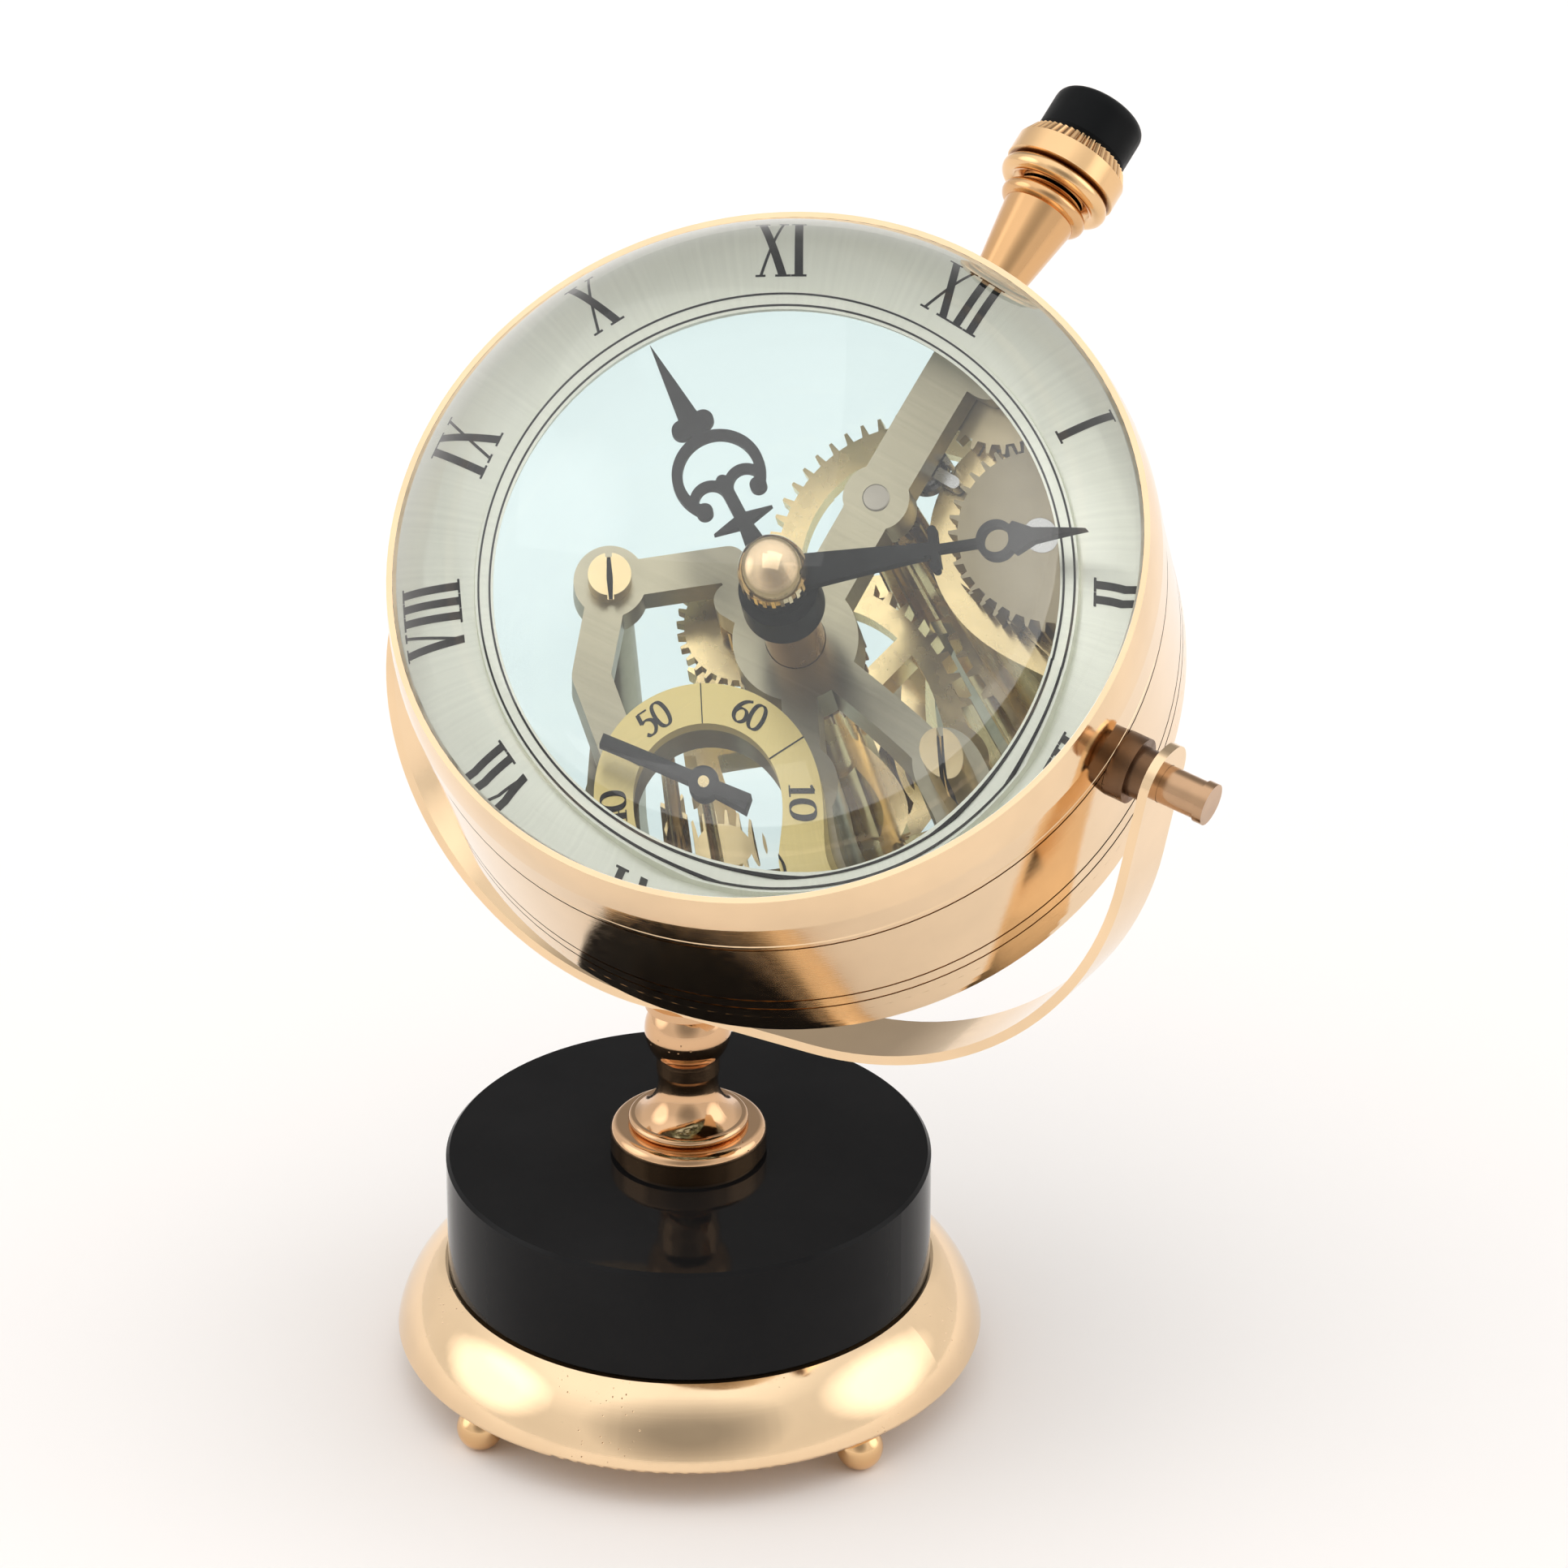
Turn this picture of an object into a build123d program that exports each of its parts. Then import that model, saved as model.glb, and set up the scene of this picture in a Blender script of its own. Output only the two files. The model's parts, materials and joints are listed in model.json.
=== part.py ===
from build123d import *
import os
from math import atan2, cos, degrees, hypot, radians, sin, sqrt

os.makedirs("parts", exist_ok=True)

# Clearances shared by all pieces, in millimetres
overrun = 2.0
running_clearance = 0.04
fit_clearance = 0.02
side_clearance = 0.1

# Ball feet on a circle under the saucer
foot_count = 4
foot_radius = 2.4
foot_ring_radius = 27.6
foot_first_angle = -21.0
foot_flat_depth = 0.12
foot_stud_radius = 0.8
foot_stud_length = 2.2

# Turned brass saucer
saucer_base_z = 4.5
saucer_rim_radius = 30.3
saucer_rim_round = 0.5
saucer_top_z = 12.3
saucer_top_radius = 25.3
saucer_bulge = 0.9
saucer_recess_radius = 5.2
saucer_recess_depth = 4.2

# Black plinth in two bonded layers
plinth_radius = 25.0
plinth_body_height = 9.5
plinth_top_height = 3.2
plinth_edge = 0.35

# Turned pedestal, heights measured from the top of the plinth
pedestal_foot_radius = 7.7
pedestal_foot_height = 0.5
pedestal_flange_radius = 8.05
pedestal_flange_straight = 2.2
pedestal_flange_height = 3.4
pedestal_flange_top_radius = 6.9
pedestal_flange_bulge = 0.29
pedestal_bead_radius = 6.2
pedestal_bead_root_radius = 5.7
pedestal_bead_height = 1.0
pedestal_bell_radius = 5.5
pedestal_bell_sag = 0.75
pedestal_neck_radius = 3.25
pedestal_neck_height = 9.5
pedestal_ball_radius = 4.45
pedestal_ball_height = 14.3
pedestal_groove_radius = 3.6
pedestal_groove_width = 0.25
pedestal_collar_radius = 4.4
pedestal_height = 18.0

# Tie rod, washer and nut that clamp saucer, plinth and pedestal
tie_radius = 1.5
tie_engagement = 7.0
tie_tail = 0.6
washer_radius = 4.6
washer_thickness = 0.8
nut_across_flats = 5.5
nut_height = 2.4

# Screw that holds the yoke on the pedestal
yoke_screw_radius = 1.1
yoke_screw_length = 5.5
yoke_screw_head_radius = 2.2
yoke_screw_head_height = 1.1
screw_slot_width = 0.45
screw_slot_depth = 0.4
plate_slot_angle = 120.0

# Head: centre of the pivot pins, lean of the pivot axis and tilt of the dial
head_x = 11.4
head_gap = 8.0
pivot_lean = 11.5
dial_tilt = 54.0

# Yoke: bent strip with a flat seat, two bends and straight ends square to the pivot axis
yoke_width = 8.0
yoke_thickness = 1.0
yoke_left_bend_share = 0.74
yoke_right_bend_share = 0.83
yoke_end_length = 3.8
yoke_corner_radius = 3.6
parallel_share = 0.99

# Pivot pins: a long one with a stepped spacer on the right, a short one with a washer on the left
pin_radius = 1.95
pin_tail = 5.1
pin_flare_radius = 2.15
pin_flare_length = 1.0
spacer_foot_radius = 3.4
spacer_foot_length = 2.0
spacer_neck_radius = 2.6
spacer_neck_length = 1.9
left_pin_tail = 0.3
left_washer_thickness = 1.3

# Case: drum, front bezel and rear bezel, heights along the dial axis
drum_radius = 38.2
case_wall = 1.2
drum_front_z = 3.6
drum_back_z = -13.5
drum_ledge_width = 1.8
drum_ledge_z = 1.6
drum_ledge_height = 1.0
drum_line_heights = (-11.6, -9.6, 2.6)
drum_line_width = 0.3
drum_line_depth = 0.25
seam_edge = 0.25
bezel_overhang = 0.1
bezel_straight = 3.9
lip_z = 12.5
lip_draw = 0.7
bezel_bulge = 0.1
rear_step_drops = (0.0, 0.4, 0.9)
rear_step_length = 1.8
rear_groove_width = 0.3
rear_groove_depth = 0.5
rear_end_z = -20.0
rear_end_drop = 2.2
rear_wall = 1.38
rear_spigot_length = 1.0
rear_shoulder_width = 1.6

# Crystals, plano-convex
crystal_back_z = 8.5
crystal_dome_share = 1.136
rear_crystal_face_z = -17.0
rear_crystal_edge = 2.0
rear_crystal_dome_share = 1.734

# Dial rings
carrier_bore = 23.0
carrier_thickness = 1.5
spacer_ring_gap = 0.4
chapter_bore = 20.9
chapter_margin = 3.2
chapter_thickness = 0.5
rail_radius = 22.4
rail_thickness = 0.2
seconds_ring_y = -12.75
seconds_ring_radius = 7.9
seconds_ring_bore = 5.15
seconds_ring_thickness = 0.4

# Plates, pillars and the posts that carry the movement
plate_front_z = 0.0
plate_thickness = 1.2
rear_plate_front_z = -8.3
pillar_x = 12.7
pillar_y = -2.2
low_pillar_x = 9.5
low_pillar_y = -16.0
pillar_radius = 1.3
plate_screw_radius = 0.6
plate_screw_length = 3.0
plate_screw_head_radius = 1.45
plate_screw_head_height = 0.7
post_ring_radius = 27.0
post_angles = (38.0, 235.0, 320.0)
post_radius = 1.5
post_spigot_radius = 0.8
post_spigot_length = 1.0

# Webs and bosses of the front plate
hub_radius = 4.2
arm_width = 3.2
left_arm_width = 2.4
left_arm_rise = 2.4
leg_width = 2.6
leg_bend_x = -11.0
leg_bend_y = -8.4
leg_end_x = -6.4
pillar_boss_radius = 2.4
train_boss_radius = 2.2
arm_pad_length = 1.5
low_band_inner = 13.4
low_band_outer = 19.6
low_band_start = -64.0
low_band_end = -6.0
sub_dial_web_bore = 5.4
sub_dial_web_radius = 7.4
rear_web_width = 2.6

# Tooth form, as shares of the module and of the angular pitch
addendum_share = 0.75
dedendum_share = 1.15
tooth_root_share = 0.42
tooth_tip_share = 0.18
rim_share = 0.8
arm_width_share = 0.14
hub_share = 0.24

# Train: tooth counts, centre distances in modules
centre_pinion_teeth = 14
intermediate_teeth = 56
intermediate_y = 10.8
intermediate_pinion_teeth = 12
barrel_module = 0.3
barrel_teeth = 56
barrel_bearing = 22.0
centre_teeth = 48
third_pinion_teeth = 6
third_bearing = -58.2
third_distance = 9.3
third_teeth = 45
fourth_pinion_teeth = 6
fourth_teeth = 48
escape_pinion_teeth = 6
escape_bearing = 147.4
escape_distance = 5.94
escape_teeth = 15
escape_radius = 2.6
escape_root_share = 0.74
wheel_thickness = 0.6
pinion_overlap = 0.2
arbor_radius = 0.5
pivot_radius = 0.4

# Heights of the wheels: the back face of each
intermediate_z = -7.4
centre_wheel_z = -5.8
third_wheel_z = -7.6
fourth_wheel_z = -4.2
escape_wheel_z = -7.5
long_pinion_top_z = -2.1
centre_boss_radius = 1.9
centre_boss_top_z = -2.6

# Motion work behind the front plate
motion_distance = 5.0
motion_bearing = 176.0
cannon_teeth = 10
minute_wheel_teeth = 30
minute_pinion_teeth = 8
hour_wheel_teeth = 32
motion_thickness = 0.4
hour_wheel_z = -1.75
minute_wheel_z = -2.4
centre_arbor_radius = 0.8
cannon_radius = 1.2
hour_pipe_radius = 2.0
stud_radius = 0.5

# Barrel, mainspring and ratchet
barrel_back_z = -6.0
barrel_floor = 1.0
barrel_drum_radius = 7.5
barrel_wall = 0.6
barrel_cover_z = -2.4
barrel_cover_thickness = 0.4
barrel_arbor_radius = 1.1
barrel_core_radius = 1.9
mainspring_turns = 4
mainspring_pitch = 1.0
mainspring_strip = 0.4
ratchet_teeth = 36
ratchet_z = -1.9
ratchet_thickness = 0.6

# Winding wheels under the front plate
crown_wheel_x = 2.2
crown_wheel_y = 21.5
crown_wheel_teeth = 27
shoulder_radius = 0.9
shoulder_head_radius = 1.5
shoulder_head_height = 0.4
shoulder_thread_radius = 0.45
shoulder_thread_length = 0.9
click_x = 0.4
click_y = 14.6
click_boss_radius = 1.2
click_width = 0.8
click_gap = 0.15
click_spring_x = -1.0
click_spring_y = 17.0
click_spring_foot = 0.6
click_spring_width = 0.35
click_spring_end_x = 2.0
click_spring_end_y = 15.5

# Escapement
pallet_distance = 3.5
pallet_bearing = 222.1
pallet_tip_radius = 3.3
pallet_tip_angle = 40.0
pallet_bar_width = 0.4
pallet_boss_radius = 0.7
pallet_lever_length = 3.4
pallet_arbor_top_z = -5.6
balance_distance = 4.7
balance_bearing = 219.8
balance_radius = 4.2
balance_rim_width = 0.7
balance_z = -4.6
balance_thickness = 0.8
balance_arm_width = 0.7
balance_hub_radius = 0.9
balance_staff_radius = 0.35
roller_radius = 0.6
roller_thickness = 0.4
hairspring_z = -2.9
hairspring_height = 0.5
hairspring_start_radius = 0.7
hairspring_turns = 4
hairspring_pitch = 0.56
hairspring_strip = 0.12
spiral_steps = 60
cock_thickness = 0.6
cock_width = 2.0
cock_foot_radius = 0.9
pallet_cock_x = -10.6
pallet_cock_y = -8.2
seconds_cock_x = 4.6
seconds_cock_y = -17.6
seconds_cock_z = -3.0
balance_cock_x = -15.8
balance_cock_y = -18.8
balance_cock_z = -2.1

# Hands
hour_hand_z = 4.3
minute_hand_z = 5.2
seconds_hand_z = 1.1
hand_thickness = 0.4
seconds_hand_thickness = 0.3
minute_hand_angle = 37.7
hour_hand_angle = 145.6
seconds_hand_angle = 184.0
hand_hub_radius = 2.1
hour_root_half = 1.3
hour_stem_width = 0.9
hour_bar_r = 5.6
hour_bar_half = 2.3
hour_bar_width = 1.1
hour_ring_r = 9.5
hour_ring_radius = 3.3
hour_ring_band = 0.75
hour_ring_opening = 92.0
hour_ring_end_radius = 0.6
hour_lobe_r = 7.9
hour_lobe_side = 1.35
hour_lobe_radius = 1.55
hour_lobe_band = 0.65
hour_stem_end_r = 8.9
hour_knob_r = 13.6
hour_knob_radius = 0.75
hour_knob_side = 0.8
hour_spear_half = 0.8
hour_tip_r = 20.4
minute_root_half = 1.5
minute_taper_half = 0.5
minute_bar_r = 12.0
minute_bar_half = 1.5
minute_bar_width = 0.7
minute_stem_width = 0.6
minute_ring_r = 16.9
minute_ring_radius = 1.6
minute_ring_band = 0.55
minute_wing_r = 18.4
minute_wing_half = 1.3
minute_blade_r = 20.0
minute_blade_half = 0.55
minute_tip_r = 24.7
seconds_tip_r = 7.8
seconds_tail_r = 3.4
seconds_half = 0.4
seconds_tail_half = 0.55
seconds_hub_radius = 1.1
collar_radius = 2.9
collar_base_z = 2.8
cap_radius = 2.6
cap_height = 2.6
cap_skirt_height = 0.6
cap_flutes = 24
cap_flute_depth = 0.18

# Stem on the XII side, distances from the head centre
stem_z = -2.4
stem_radius = 0.8
stem_inner_y = 26.0
pinion_inner_y = 26.2
pinion_outer_y = 28.0
winding_pinion_teeth = 10
winding_pinion_module = 0.26

# Pendant, sleeve and crown, lengths added up from the drum outwards
pendant_shank_depth = 2.2
pendant_shank_radius = 1.8
pendant_foot_radius = 2.1
pendant_top_radius = 3.85
pendant_taper_length = 12.2
pendant_ring_radius = 4.65
pendant_ring_height = 1.8
pendant_end_radius = 3.5
pendant_neck_length = 0.5
pendant_bore_depth = 8.8
sleeve_radius = 1.6
sleeve_inset = 1.4
sleeve_length = 5.9
crown_gap = 0.2
crown_root_radius = 4.3
crown_bead_radius = 5.9
crown_bead_height = 1.5
crown_groove_radius = 5.35
crown_groove_rise = 0.3
crown_band_radius = 6.0
crown_band_height = 2.3
crown_knurl_height = 1.4
crown_knurl_end_radius = 5.25
crown_knurl_count = 48
crown_knurl_depth = 0.25
knob_radius = 4.9
knob_waist_radius = 4.6
knob_waist_height = 0.6
knob_straight_height = 4.0
knob_height = 6.3
stem_knob_depth = 3.0


# Worked-out heights and places
plinth_z = saucer_top_z
plinth_seam_z = plinth_z + plinth_body_height
pedestal_z = plinth_seam_z + plinth_top_height
yoke_z = pedestal_z + pedestal_height
head_z = yoke_z + yoke_thickness + head_gap + drum_radius
case_bore = drum_radius - case_wall
drum_ledge_bore = case_bore - drum_ledge_width
bezel_radius = drum_radius + bezel_overhang
lip_radius = bezel_radius - lip_draw
rear_end_radius = drum_radius - rear_end_drop
rear_crystal_radius = rear_end_radius - rear_wall - fit_clearance
rear_shoulder_bore = rear_crystal_radius - rear_shoulder_width
chapter_radius = case_bore - chapter_margin
spacer_ring_bore = chapter_radius + spacer_ring_gap
plate_back_z = plate_front_z - plate_thickness
rear_plate_back_z = rear_plate_front_z - plate_thickness
carrier_front_z = drum_ledge_z + carrier_thickness
chapter_front_z = carrier_front_z + chapter_thickness
crystal_radius = case_bore - fit_clearance
crystal_dome_radius = crystal_dome_share * crystal_radius
rear_crystal_dome_radius = rear_crystal_dome_share * rear_crystal_radius
yoke_left_inner = drum_radius + left_washer_thickness + side_clearance
yoke_right_inner = drum_radius + spacer_foot_length + spacer_neck_length + side_clearance
yoke_left_reach = yoke_left_inner + yoke_thickness
yoke_right_reach = yoke_right_inner + yoke_thickness
yoke_left_bend = yoke_left_bend_share * yoke_left_reach
yoke_right_bend = yoke_right_bend_share * yoke_right_reach
left_pin_reach = yoke_left_reach + left_pin_tail
right_pin_reach = yoke_right_reach + pin_tail
pendant_inner_y = drum_radius - pendant_shank_depth
pendant_top_y = drum_radius + pendant_taper_length
pendant_ring_y = pendant_top_y + pendant_ring_height
pendant_end_y = pendant_ring_y + pendant_neck_length
pendant_bore_y = pendant_end_y - pendant_bore_depth
sleeve_outer_y = pendant_end_y - sleeve_inset
sleeve_inner_y = sleeve_outer_y - sleeve_length
crown_inner_y = pendant_end_y + crown_gap
crown_bead_y = crown_inner_y + crown_bead_height
crown_band_y = crown_bead_y + crown_groove_rise
crown_knurl_y = crown_band_y + crown_band_height
crown_outer_y = crown_knurl_y + crown_knurl_height
knob_outer_y = crown_outer_y + knob_height
stem_outer_y = crown_outer_y + stem_knob_depth


def polar(origin, distance, bearing):
    """Point at a distance and bearing from another point."""
    angle = radians(bearing)
    return (origin[0] + distance * cos(angle), origin[1] + distance * sin(angle))


centre_at = (0.0, 0.0)
intermediate_at = (0.0, intermediate_y)
barrel_distance = barrel_module * (barrel_teeth + intermediate_pinion_teeth) / 2
barrel_at = polar(intermediate_at, barrel_distance, barrel_bearing)
third_at = polar(centre_at, third_distance, third_bearing)
fourth_at = (0.0, seconds_ring_y)
escape_at = polar(fourth_at, escape_distance, escape_bearing)
pallet_at = polar(escape_at, pallet_distance, pallet_bearing)
balance_at = polar(pallet_at, balance_distance, balance_bearing)
minute_at = polar(centre_at, motion_distance, motion_bearing)
crown_wheel_at = (crown_wheel_x, crown_wheel_y)
click_at = (click_x, click_y)
pillars_at = ((-pillar_x, pillar_y), (pillar_x, pillar_y), (low_pillar_x, low_pillar_y))
posts_at = tuple(polar(centre_at, post_ring_radius, angle) for angle in post_angles)
pallet_cock_at = (pallet_cock_x, pallet_cock_y)
seconds_cock_at = (seconds_cock_x, seconds_cock_y)
balance_cock_at = (balance_cock_x, balance_cock_y)


def spacing(a, b):
    """Distance between two points."""
    return hypot(b[0] - a[0], b[1] - a[1])


def bearing_of(a, b):
    """Bearing from one point to another, in degrees."""
    return degrees(atan2(b[1] - a[1], b[0] - a[0]))


def mesh_module(a, b, teeth_a, teeth_b):
    """Module that makes two wheels mesh at their centres' distance."""
    return 2 * spacing(a, b) / (teeth_a + teeth_b)


def mesh_phase(a, b, teeth_a, phase_a, teeth_b):
    """Turn of wheel b that puts its gap on the tooth of wheel a."""
    bearing = bearing_of(a, b)
    offset = (bearing - phase_a) * teeth_a / 360
    return bearing + 180 - (0.5 - offset) * 360 / teeth_b


intermediate_module = mesh_module(intermediate_at, centre_at, intermediate_teeth, centre_pinion_teeth)
centre_module = mesh_module(centre_at, third_at, centre_teeth, third_pinion_teeth)
third_module = mesh_module(third_at, fourth_at, third_teeth, fourth_pinion_teeth)
fourth_module = mesh_module(fourth_at, escape_at, fourth_teeth, escape_pinion_teeth)
minute_module = mesh_module(centre_at, minute_at, cannon_teeth, minute_wheel_teeth)
hour_module = mesh_module(centre_at, minute_at, hour_wheel_teeth, minute_pinion_teeth)
winding_module = mesh_module(barrel_at, crown_wheel_at, ratchet_teeth, crown_wheel_teeth)


def head_plane():
    """Plane of the dial: X towards III, Y towards XII, Z towards the viewer."""
    lean = radians(pivot_lean)
    tilt = radians(dial_tilt)
    across = (cos(lean), 0, -sin(lean))
    outward = (sin(tilt) * sin(lean), -cos(tilt), sin(tilt) * cos(lean))
    return Plane(origin=(head_x, 0, head_z), x_dir=across, z_dir=outward)


def save(name, shape):
    """Write one piece of the stand."""
    export_step(shape, f"parts/{name}.step")


def save_head(name, shape):
    """Write one piece of the head, moved from the dial's frame to the stand's."""
    export_step(shape.moved(head_plane().location), f"parts/{name}.step")


def turned(*edges):
    """Solid of revolution about Z from a closed outline of radius and height."""
    return revolve(Plane.XZ * make_face(Curve() + list(edges)), Axis.Z)


def turned_points(*points):
    """Solid of revolution about Z from straight lines."""
    return turned(Polyline(*points, close=True))


def rod(radius, low, high, at=(0.0, 0.0)):
    """Cylinder along Z between two heights."""
    base = Cylinder(radius, high - low, align=(Align.CENTER, Align.CENTER, Align.MIN))
    return Pos(at[0], at[1], low) * base


def tube(radius, bore, low, high, at=(0.0, 0.0)):
    """Hollow cylinder along Z between two heights."""
    return rod(radius, low, high, at) - rod(bore, low - overrun, high + overrun, at)


def slab(sketch, low, high):
    """Flat plate of a drawn outline between two heights."""
    return Pos(0, 0, low) * extrude(sketch, amount=high - low)


def spot(radius, at):
    """Disc outline at a point."""
    return Pos(at[0], at[1]) * Circle(radius)


def bar(a, b, width):
    """Round-ended bar outline between two points."""
    middle = ((a[0] + b[0]) / 2, (a[1] + b[1]) / 2)
    slot = SlotCenterToCenter(spacing(a, b), width)
    return Pos(middle[0], middle[1]) * Rot(0, 0, bearing_of(a, b)) * slot


def circle_arc(centre, radius, start, end):
    """Arc about a centre between two bearings."""
    return ThreePointArc(
        polar(centre, radius, start),
        polar(centre, radius, (start + end) / 2),
        polar(centre, radius, end),
    )


def tooth_ring(count, tip, root, phase, tip_share, root_share):
    """Toothed outline with straight flanks."""
    pitch = 360 / count
    points = []
    for index in range(count):
        middle = phase + index * pitch
        for radius, share in ((root, -root_share), (tip, -tip_share), (tip, tip_share), (root, root_share)):
            points.append(polar((0.0, 0.0), radius, middle + share * pitch / 2))
    return make_face(Polyline(*points, close=True))


def gear(count, module, phase):
    """Outline of a wheel or pinion."""
    tip = module * (count / 2 + addendum_share)
    root = module * (count / 2 - dedendum_share)
    return tooth_ring(count, tip, root, phase, tooth_tip_share, tooth_root_share)


def crossed_gear(count, module, phase, arms):
    """Wheel outline cut out to a rim, a hub and straight arms."""
    pitch_radius = module * count / 2
    rim = rim_share * pitch_radius
    outline = gear(count, module, phase) - Circle(rim)
    outline += Circle(hub_share * pitch_radius)
    arm = Rectangle(rim + module, arm_width_share * pitch_radius, align=(Align.MIN, Align.CENTER))
    for index in range(arms):
        outline += Rot(0, 0, phase + index * 360 / arms) * arm
    return outline


def at_point(at, shape):
    """Shape moved to an arbor's place."""
    return Pos(at[0], at[1], 0) * shape


def spiral(start_radius, turns, pitch, strip):
    """Flat spiral outline of half-circle arcs about two centres."""
    centres = ((0.0, 0.0), (pitch / 2, 0.0))
    inner = []
    outer = []
    for half in range(2 * turns):
        centre = centres[half % 2]
        radius = start_radius + half * pitch / 2
        start = 180 * (half % 2)
        inner.append(circle_arc(centre, radius, start, start + 180))
        outer.append(circle_arc(centre, radius + strip, start, start + 180))
    caps = [Line(inner[0] @ 0, outer[0] @ 0), Line(inner[-1] @ 1, outer[-1] @ 1)]
    return make_face(Curve() + inner + outer + caps)


def slotted_head(radius, low, high, bearing):
    """Screw head with a slot across its top."""
    slot = Box(2 * radius + overrun, screw_slot_width, 2 * screw_slot_depth)
    return rod(radius, low, high) - Pos(0, 0, high) * Rot(0, 0, bearing) * slot


# Stand

def ball_feet():
    """Balls cut flat below and above, each with a stud into the saucer."""
    centre_z = foot_radius - foot_flat_depth
    keep = rod(foot_radius + overrun, 0, saucer_base_z)
    foot = Pos(0, 0, centre_z) * Sphere(foot_radius) & keep
    foot += rod(foot_stud_radius, saucer_base_z - foot_radius, saucer_base_z + foot_stud_length)
    return Compound([Pos(*polar(centre_at, foot_ring_radius, angle)) * foot for angle in foot_bearings()])


def foot_bearings():
    """Bearings of the feet around the stand."""
    return [foot_first_angle + index * 360 / foot_count for index in range(foot_count)]


def base_saucer():
    """Turned saucer with a bulging flank, bored for the tie rod and the feet."""
    rim_z = saucer_base_z + saucer_rim_round
    flank_start = (saucer_rim_radius, rim_z)
    flank_end = (saucer_top_radius, saucer_top_z)
    run = spacing(flank_start, flank_end)
    lift = ((saucer_top_z - rim_z) / run, (saucer_rim_radius - saucer_top_radius) / run)
    middle = (
        (flank_start[0] + flank_end[0]) / 2 + saucer_bulge * lift[0],
        (flank_start[1] + flank_end[1]) / 2 + saucer_bulge * lift[1],
    )
    rim_centre = (saucer_rim_radius - saucer_rim_round, rim_z)
    body = turned(
        Line((0, saucer_base_z), (rim_centre[0], saucer_base_z)),
        circle_arc(rim_centre, saucer_rim_round, -90, 0),
        ThreePointArc(flank_start, middle, flank_end),
        Line(flank_end, (0, saucer_top_z)),
        Line((0, saucer_top_z), (0, saucer_base_z)),
    )
    body -= rod(tie_radius + fit_clearance, saucer_base_z - overrun, saucer_top_z + overrun)
    body -= rod(saucer_recess_radius, saucer_base_z - overrun, saucer_base_z + saucer_recess_depth)
    stud_top = saucer_base_z + foot_stud_length
    for angle in foot_bearings():
        place = polar(centre_at, foot_ring_radius, angle)
        body -= rod(foot_stud_radius + fit_clearance, saucer_base_z - overrun, stud_top, place)
    return body


def plinth_layer(low, high, edge_low, edge_high):
    """Round layer of the plinth with broken edges, bored for the tie rod."""
    inset = plinth_radius - plinth_edge
    body = turned_points(
        (0, low), (inset if edge_low else plinth_radius, low),
        (plinth_radius, low + plinth_edge), (plinth_radius, high - plinth_edge),
        (inset if edge_high else plinth_radius, high), (0, high),
    )
    return body - rod(tie_radius + fit_clearance, low - overrun, high + overrun)


def pedestal():
    """Turned column: flange, bead, bell, neck, ball and collar."""
    flange_top = pedestal_flange_height
    bead_top = flange_top + pedestal_bead_height
    ball_low = pedestal_ball_height - sqrt(pedestal_ball_radius ** 2 - pedestal_neck_radius ** 2)
    ball_high = pedestal_ball_height + sqrt(pedestal_ball_radius ** 2 - pedestal_groove_radius ** 2)
    groove_top = ball_high + pedestal_groove_width
    bell_middle = (
        (pedestal_bell_radius + pedestal_neck_radius) / 2 - pedestal_bell_sag,
        (bead_top + pedestal_neck_height) / 2 - pedestal_bell_sag,
    )
    round_middle = (
        (pedestal_flange_radius + pedestal_flange_top_radius) / 2 + pedestal_flange_bulge,
        (pedestal_flange_straight + flange_top) / 2 + pedestal_flange_bulge,
    )
    body = turned(
        Polyline(
            (0, 0), (pedestal_foot_radius, 0), (pedestal_foot_radius, pedestal_foot_height),
            (pedestal_flange_radius, pedestal_foot_height),
            (pedestal_flange_radius, pedestal_flange_straight),
        ),
        ThreePointArc(
            (pedestal_flange_radius, pedestal_flange_straight), round_middle,
            (pedestal_flange_top_radius, flange_top),
        ),
        Line((pedestal_flange_top_radius, flange_top), (pedestal_bead_root_radius, flange_top)),
        ThreePointArc(
            (pedestal_bead_root_radius, flange_top),
            (pedestal_bead_radius, flange_top + pedestal_bead_height / 2),
            (pedestal_bead_root_radius, bead_top),
        ),
        Line((pedestal_bead_root_radius, bead_top), (pedestal_bell_radius, bead_top)),
        ThreePointArc(
            (pedestal_bell_radius, bead_top), bell_middle, (pedestal_neck_radius, pedestal_neck_height),
        ),
        Line((pedestal_neck_radius, pedestal_neck_height), (pedestal_neck_radius, ball_low)),
        ThreePointArc(
            (pedestal_neck_radius, ball_low), (pedestal_ball_radius, pedestal_ball_height),
            (pedestal_groove_radius, ball_high),
        ),
        Polyline(
            (pedestal_groove_radius, ball_high), (pedestal_groove_radius, groove_top),
            (pedestal_collar_radius, groove_top), (pedestal_collar_radius, pedestal_height),
            (0, pedestal_height), (0, 0),
        ),
    )
    body -= rod(tie_radius + fit_clearance, -overrun, tie_engagement)
    tap_low = pedestal_height - yoke_screw_length
    body -= rod(yoke_screw_radius + fit_clearance, tap_low, pedestal_height + overrun)
    return Pos(0, 0, pedestal_z) * body


def washer_z():
    """Underside of the washer in the saucer's recess."""
    return saucer_base_z + saucer_recess_depth - washer_thickness


def tie_rod():
    """Threaded rod from the nut up into the pedestal."""
    return rod(tie_radius, washer_z() - nut_height - tie_tail, pedestal_z + tie_engagement)


def tie_washer():
    """Plain washer under the saucer."""
    return tube(washer_radius, tie_radius + fit_clearance, washer_z(), washer_z() + washer_thickness)


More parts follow.
